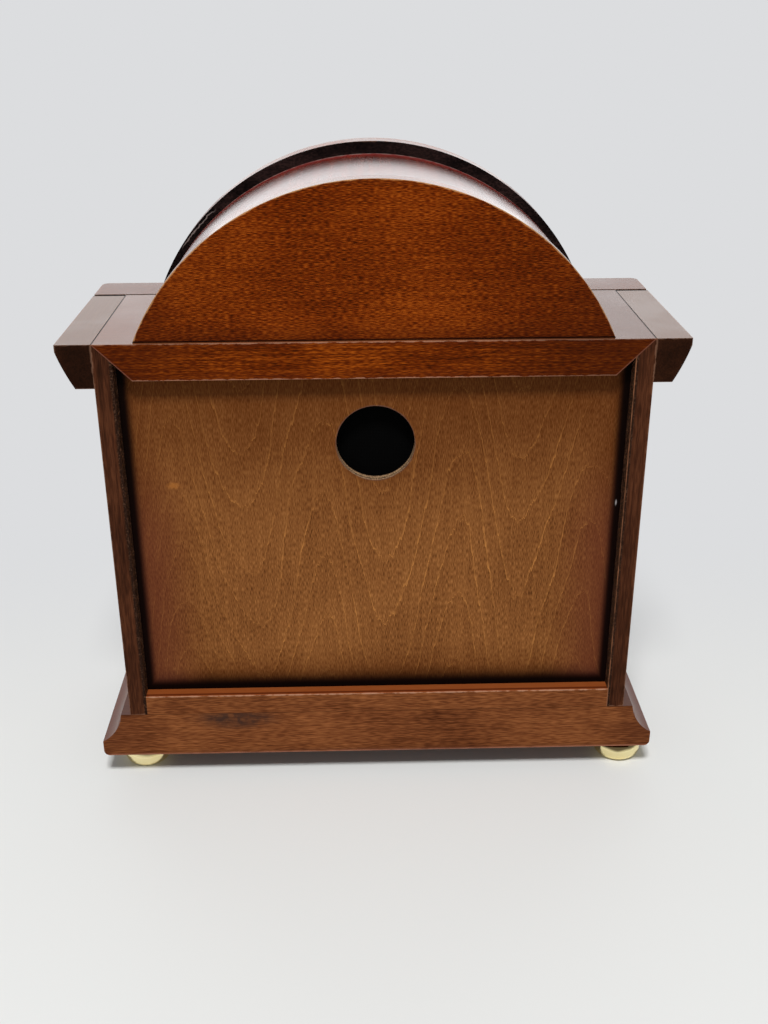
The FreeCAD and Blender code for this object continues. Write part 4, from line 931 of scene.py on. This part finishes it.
def turned(profile, sides):
    # A surface of revolution: radius and height of the profile, swept round by the angle
    turn = np.linspace(0, 2 * math.pi, sides, endpoint=False)
    radius, height = profile[:, 0, None], profile[:, 1, None]
    across = radius * np.cos(turn)
    deep = radius * np.sin(turn)
    points = np.stack([across, deep, np.broadcast_to(height, across.shape)], axis=-1)
    return points, gridFaces(len(profile), sides)


bunFoot = {
    "neck": 8.0 * mm, "rimHeight": 4.4 * mm, "shoulder": 10.6 * mm, "sole": 8.6 * mm, "bead": 0.5 * mm,
    "throat": 7.5 * mm, "sides": 96,
}


def makeFeet():
    # A flattened bun, fullest below its middle, under a thin bead and a neck that flares to the base
    for side in ("left", "right"):
        for end in ("front", "rear"):
            node = f"{end}_{side}_foot"
            low, high = np.array(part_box(node))
            rim = (high[0] - low[0]) / 2
            tall = high[2] - low[2]
            rise, shoulder, bead = bunFoot["rimHeight"], bunFoot["shoulder"], bunFoot["bead"]
            profile = np.concatenate([
                [[0, 0], [bunFoot["sole"] * 0.9, 0]],
                arc((bunFoot["sole"], rise), (rim - bunFoot["sole"], rise), -90, 0, 16),
                arc((bunFoot["neck"], rise), (rim - bunFoot["neck"], shoulder - rise), 0, 90, 20)[1:],
                arc((bunFoot["neck"], shoulder + bead), (bead, bead), -60, 90, 10),
                [[bunFoot["throat"], shoulder + 2.4 * bead], [bunFoot["throat"], tall - 2 * bead]],
                [[bunFoot["neck"], tall], [0, tall]],
            ])
            points, faces = turned(profile, bunFoot["sides"])
            centre = np.array([(low[0] + high[0]) / 2, (low[1] + high[1]) / 2, low[2]])
            addPiece(f"bun_{node}", points + centre, faces, footBrass, "case", [node])


slottedScrew = {"slot": 0.28, "slotDepth": 0.55, "crown": 0.45, "columns": 9, "rows": 13}


def screwHead(radius, height, turn):
    # A domed round head: across and along run over the disc, the height falls off with the square of
    # the distance from the middle, and the strip of columns in the middle is sunk to make the slot
    half = slottedScrew["slot"] * radius / 2
    side = radius * np.sin(np.linspace(-math.pi / 2, 0, slottedScrew["columns"]))
    left = side * (1 - half / radius) - half
    across = np.concatenate([left, [-half, half], -left[::-1]])
    sunk = np.zeros(len(across))
    sunk[slottedScrew["columns"]:slottedScrew["columns"] + 2] = slottedScrew["slotDepth"] * height
    reach = np.sqrt(np.clip(radius ** 2 - across ** 2, 0, None))
    part = np.linspace(-1, 1, slottedScrew["rows"])
    x = np.broadcast_to(across, (len(part), len(across)))
    y = part[:, None] * reach
    z = height * (1 - slottedScrew["crown"] * (x ** 2 + y ** 2) / radius ** 2) - sunk
    top = np.stack([x, y, z], axis=-1)
    foot = top[[0, -1]] * (1, 1, 0)
    points = np.concatenate([foot[:1], top, foot[1:]])
    c, s = math.cos(turn), math.sin(turn)
    points = points @ np.array([[c, s, 0], [-s, c, 0], [0, 0, 1]])
    faces = gridFaces(*points.shape[:2], wrapRows=True, wrapColumns=False)
    return points.reshape(-1, 3), faces


def screwGroup(name, heads, body, replaced=()):
    # Heads are (seat, radius, height, slot turn, way out); "z" stands up and "-y" faces the front
    allPoints, allFaces, count = [], [], 0
    for seat, radius, height, turn, way in heads:
        points, faces = screwHead(radius, height, turn)
        if way == "-y":
            points = points[:, [0, 2, 1]] * (1, -1, 1)
        allPoints.append(points + np.array(seat))
        allFaces.append(faces + count)
        count += len(points)
    addPiece(name, np.concatenate(allPoints), np.concatenate(allFaces), steel, body, replaced)


movementScrews = {
    "radius": 2.2 * mm, "height": 1.5 * mm, "combCount": 5, "combBack": 8.0 * mm, "bedInset": 8.0 * mm,
    "flange": 9.0 * mm, "flangeThickness": 3.0 * mm,
}


def makeMovementScrews():
    combLow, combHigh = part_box("comb")
    bedLow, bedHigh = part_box("bedplate")
    frameLow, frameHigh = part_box("governor_frame")
    inset = movementScrews["bedInset"]
    seats = [
        (combLow[0] + (combHigh[0] - combLow[0]) * (nth + 0.5) / movementScrews["combCount"],
         combLow[1] + movementScrews["combBack"] / 2, combHigh[2])
        for nth in range(movementScrews["combCount"])
    ]
    seats += [(x, bedHigh[1] - inset, bedHigh[2]) for x in (bedLow[0] + inset, bedHigh[0] - inset)]
    seats.append((
        frameHigh[0] - movementScrews["flange"] / 2, (frameLow[1] + frameHigh[1]) / 2,
        bedHigh[2] + movementScrews["flangeThickness"],
    ))
    # Each slot stands at an angle of its own
    heads = [
        (seat, movementScrews["radius"], movementScrews["height"], 0.7 + 1.9 * nth, "z")
        for nth, seat in enumerate(seats)
    ]
    screwGroup("slotted_screws", heads, "case", ["movement_screws"])


hingeScrews = {
    "radius": 1.9 * mm, "height": 0.5 * mm, "fromPin": 8.3 * mm, "spacing": 14.0 * mm, "leaf": 1.2 * mm,
    "leafHeight": 24.0 * mm,
}


def makeHingeScrews():
    pinLow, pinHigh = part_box("hinge_pins")
    leafLow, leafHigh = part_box("hinge_case_leaves")
    pinX = (pinLow[0] + pinHigh[0]) / 2
    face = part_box("front_left_stile")[0][1] - hingeScrews["leaf"]
    half = hingeScrews["leafHeight"] / 2
    for body, sign in (("case", -1), ("door", 1)):
        heads = []
        for middle in (leafLow[2] + half, leafHigh[2] - half):
            for step in (-0.5, 0.5):
                height = middle + step * hingeScrews["spacing"]
                seat = (pinX + sign * hingeScrews["fromPin"], face, height)
                turn = 0.4 + 2.3 * len(heads) + sign
                heads.append((seat, hingeScrews["radius"], hingeScrews["height"], turn, "-y"))
        screwGroup(body + "_hinge_screws", heads, body)


pinnedCylinder = {
    "wall": 1.5 * mm, "edge": 0.3 * mm, "pinRise": 1.0 * mm, "pinSink": 0.3 * mm, "pinFoot": 0.22 * mm,
    "pinTip": 0.14 * mm, "tracks": 40, "pinsPerTrack": 24, "beats": 96, "margin": 4.0 * mm,
    "sides": 160, "seed": 7,
}


def makeCylinder():
    low, high = np.array(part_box("cylinder_sleeve"))
    axis = (low + high) / 2
    radius = (high[2] - low[2]) / 2 - pinnedCylinder["pinRise"]
    inner, edge = radius - pinnedCylinder["wall"], pinnedCylinder["edge"]
    # Tube: a closed profile of radius and length, with eased rims, swept round the cylinder's axis
    profile = np.array([
        (inner, low[0]), (radius - edge, low[0]), (radius, low[0] + edge),
        (radius, high[0] - edge), (radius - edge, high[0]), (inner, high[0]),
    ])
    points, _ = turned(profile, pinnedCylinder["sides"])
    faces = gridFaces(len(profile), pinnedCylinder["sides"], wrapRows=True)
    addPiece(
        "pinned_sleeve", points[..., [2, 0, 1]] + axis * (0, 1, 1), faces, brass, "cylinder",
        ["cylinder_sleeve"],
    )
    # Pins: on each track a drawn share of the beats, each pin a little past its beat; a pin is a
    # tapered square bar whose corners are its place along and round the cylinder plus or minus a
    # half width, at its sunk foot and at its tip
    draw = np.random.default_rng(pinnedCylinder["seed"])
    tracks, count, beats = (pinnedCylinder[key] for key in ("tracks", "pinsPerTrack", "beats"))
    order = np.argsort(draw.random((tracks, beats)), axis=1)[:, :count]
    angle = ((order + 0.3 * draw.random((tracks, count))) * 2 * math.pi / beats).ravel()
    span = high[0] - low[0] - 2 * pinnedCylinder["margin"]
    start = low[0] + pinnedCylinder["margin"]
    along = np.repeat(start + (np.arange(tracks) + 0.5) * span / tracks, count)
    corners = np.array([(-1, -1), (1, -1), (1, 1), (-1, 1)])
    rings = []
    for reach, half in (
        (radius - pinnedCylinder["pinSink"], pinnedCylinder["pinFoot"]),
        (radius + pinnedCylinder["pinRise"], pinnedCylinder["pinTip"]),
    ):
        x = along[:, None] + half * corners[:, 0]
        tangent = half * corners[:, 1]
        y = reach * np.cos(angle)[:, None] - tangent * np.sin(angle)[:, None]
        z = reach * np.sin(angle)[:, None] + tangent * np.cos(angle)[:, None]
        rings.append(np.stack([x, y + axis[1], z + axis[2]], axis=-1))
    points = np.concatenate(rings, axis=1)
    box = np.array([(0, 1, 5, 4), (1, 2, 6, 5), (2, 3, 7, 6), (3, 0, 4, 7), (4, 5, 6, 7), (3, 2, 1, 0)])
    faces = (box[None] + 8 * np.arange(len(angle))[:, None, None]).reshape(-1, 4)
    addPiece("cylinder_pins", points, faces, steel, "cylinder")


makeFeet()
makeMovementScrews()
makeHingeScrews()
makeCylinder()
print("turned, pinned and slotted pieces made")


# Studio: a pale sweep, soft lights and the camera

studio = {
    "halfWidth": 4.0, "near": 2.5, "far": -3.0, "bendRadius": 1.5, "wallHeight": 3.5,
    "paper": (0.755, 0.765, 0.755), "backdrop": (220, 221, 223), "fadeFrom": 0.06, "fadeTo": -0.26,
    "roundFrom": 0.45, "roundTo": 1.1, "softFill": 0.26, "seenWorld": 0.72,
}


def seenRays(tree):
    # Rays that show the background itself: to the camera, in reflections and through glass
    path = addNode(tree, "ShaderNodeLightPath").outputs
    shown = mathNode(tree, "MAXIMUM", path["Is Camera Ray"], path["Is Glossy Ray"])
    return mathNode(tree, "MAXIMUM", shown, path["Is Transmission Ray"])


def paperSweep():
    # The sweep's line runs flat along the floor, turns up on a quarter circle and rises as a wall
    turn = np.linspace(0, math.pi / 2, 24)
    bendY = studio["far"] - studio["bendRadius"] * np.sin(turn)
    bendZ = studio["bendRadius"] * (1 - np.cos(turn))
    y = np.concatenate([[studio["near"]], bendY, [bendY[-1]]])
    z = np.concatenate([[0.0], bendZ, [studio["wallHeight"]]])
    x = np.array([-studio["halfWidth"], studio["halfWidth"]])
    points = np.stack([np.repeat(x, len(y)), np.tile(y, 2), np.tile(z, 2)], axis=1)
    count = len(y)
    faces = [(i, i + 1, count + i + 1, count + i) for i in range(count - 1)]
    mesh = bpy.data.meshes.new("paper_sweep")
    mesh.from_pydata(points.tolist(), [], faces)
    mesh.shade_smooth()
    sweep = bpy.data.objects.new("paper_sweep", mesh)
    bpy.context.scene.collection.objects.link(sweep)
    material, tree, shader, place, facing = newMaterial("palePaper")
    shader.inputs["Base Color"].default_value = (*studio["paper"], 1)
    shader.inputs["Roughness"].default_value = 0.9
    shader.inputs["Specular IOR Level"].default_value = 0.0
    glow = addNode(tree, "ShaderNodeEmission")
    glow.inputs["Color"].default_value = (*srgb(*studio["backdrop"]), 1)
    blend = addNode(tree, "ShaderNodeMixShader")
    # The floor fades into the backdrop's colour behind the case, and further out on every side
    behind = spread(tree, split(tree, place)[1], studio["fadeTo"], studio["fadeFrom"], 1.0, 0.0)
    around = spread(tree, vectorNode(tree, "LENGTH", place), studio["roundFrom"], studio["roundTo"])
    away = mathNode(tree, "MAXIMUM", behind, around)
    feed(tree, blend.inputs[0], times(tree, away, seenRays(tree)))
    feed(tree, blend.inputs[1], shader.outputs[0])
    feed(tree, blend.inputs[2], glow.outputs[0])
    feed(tree, tree.nodes["Material Output"].inputs["Surface"], blend.outputs[0])
    mesh.materials.append(material)


def softLight(name, place, aim, width, height, power):
    lamp = bpy.data.lights.new(name, "AREA")
    lamp.shape = "RECTANGLE"
    lamp.size = width
    lamp.size_y = height
    lamp.energy = power
    made = bpy.data.objects.new(name, lamp)
    bpy.context.scene.collection.objects.link(made)
    back = np.array(place, float) - np.array(aim, float)
    made.location = place
    made.rotation_euler = (math.acos(back[2] / np.linalg.norm(back)), 0, math.atan2(back[0], -back[1]))
    made.visible_camera = False


def makeWorld():
    world = bpy.data.worlds.new("studio")
    bpy.context.scene.world = world
    world.use_nodes = True
    tree = world.node_tree
    sky = tree.nodes["Background"]
    sky.inputs["Color"].default_value = (1, 1, 1, 1)
    strength = spread(tree, seenRays(tree), 0.0, 1.0, studio["softFill"], studio["seenWorld"])
    feed(tree, sky.inputs["Strength"], strength)


paperSweep()
makeWorld()
softLight("key", place=(0.06, 1.0, 1.72), aim=(0, 0, 0.16), width=0.36, height=0.36, power=32)
softLight("far_window", place=(0.0, -1.7, 0.78), aim=(0, 0, 0.25), width=3.0, height=1.3, power=14)

camera = {
    "place": (8.66 * mm, 585.56 * mm, 390.95 * mm), "tilt": 65.739, "turn": 178.648, "roll": -0.271,
    "focalPixels": 1181.4, "longSide": 1024, "sensor": 36.0,
}


def makeCamera():
    lens = bpy.data.cameras.new("photoCamera")
    lens.sensor_width = camera["sensor"]
    lens.lens = camera["focalPixels"] / camera["longSide"] * camera["sensor"]
    made = bpy.data.objects.new("photoCamera", lens)
    bpy.context.scene.collection.objects.link(made)
    aim = Euler((math.radians(camera["tilt"]), 0, math.radians(camera["turn"]))).to_matrix()
    made.rotation_euler = (aim @ Matrix.Rotation(math.radians(camera["roll"]), 3, "Z")).to_euler()
    made.location = camera["place"]
    bpy.context.scene.camera = made


makeCamera()
bpy.context.scene.view_settings.view_transform = "Standard"
print("studio set")
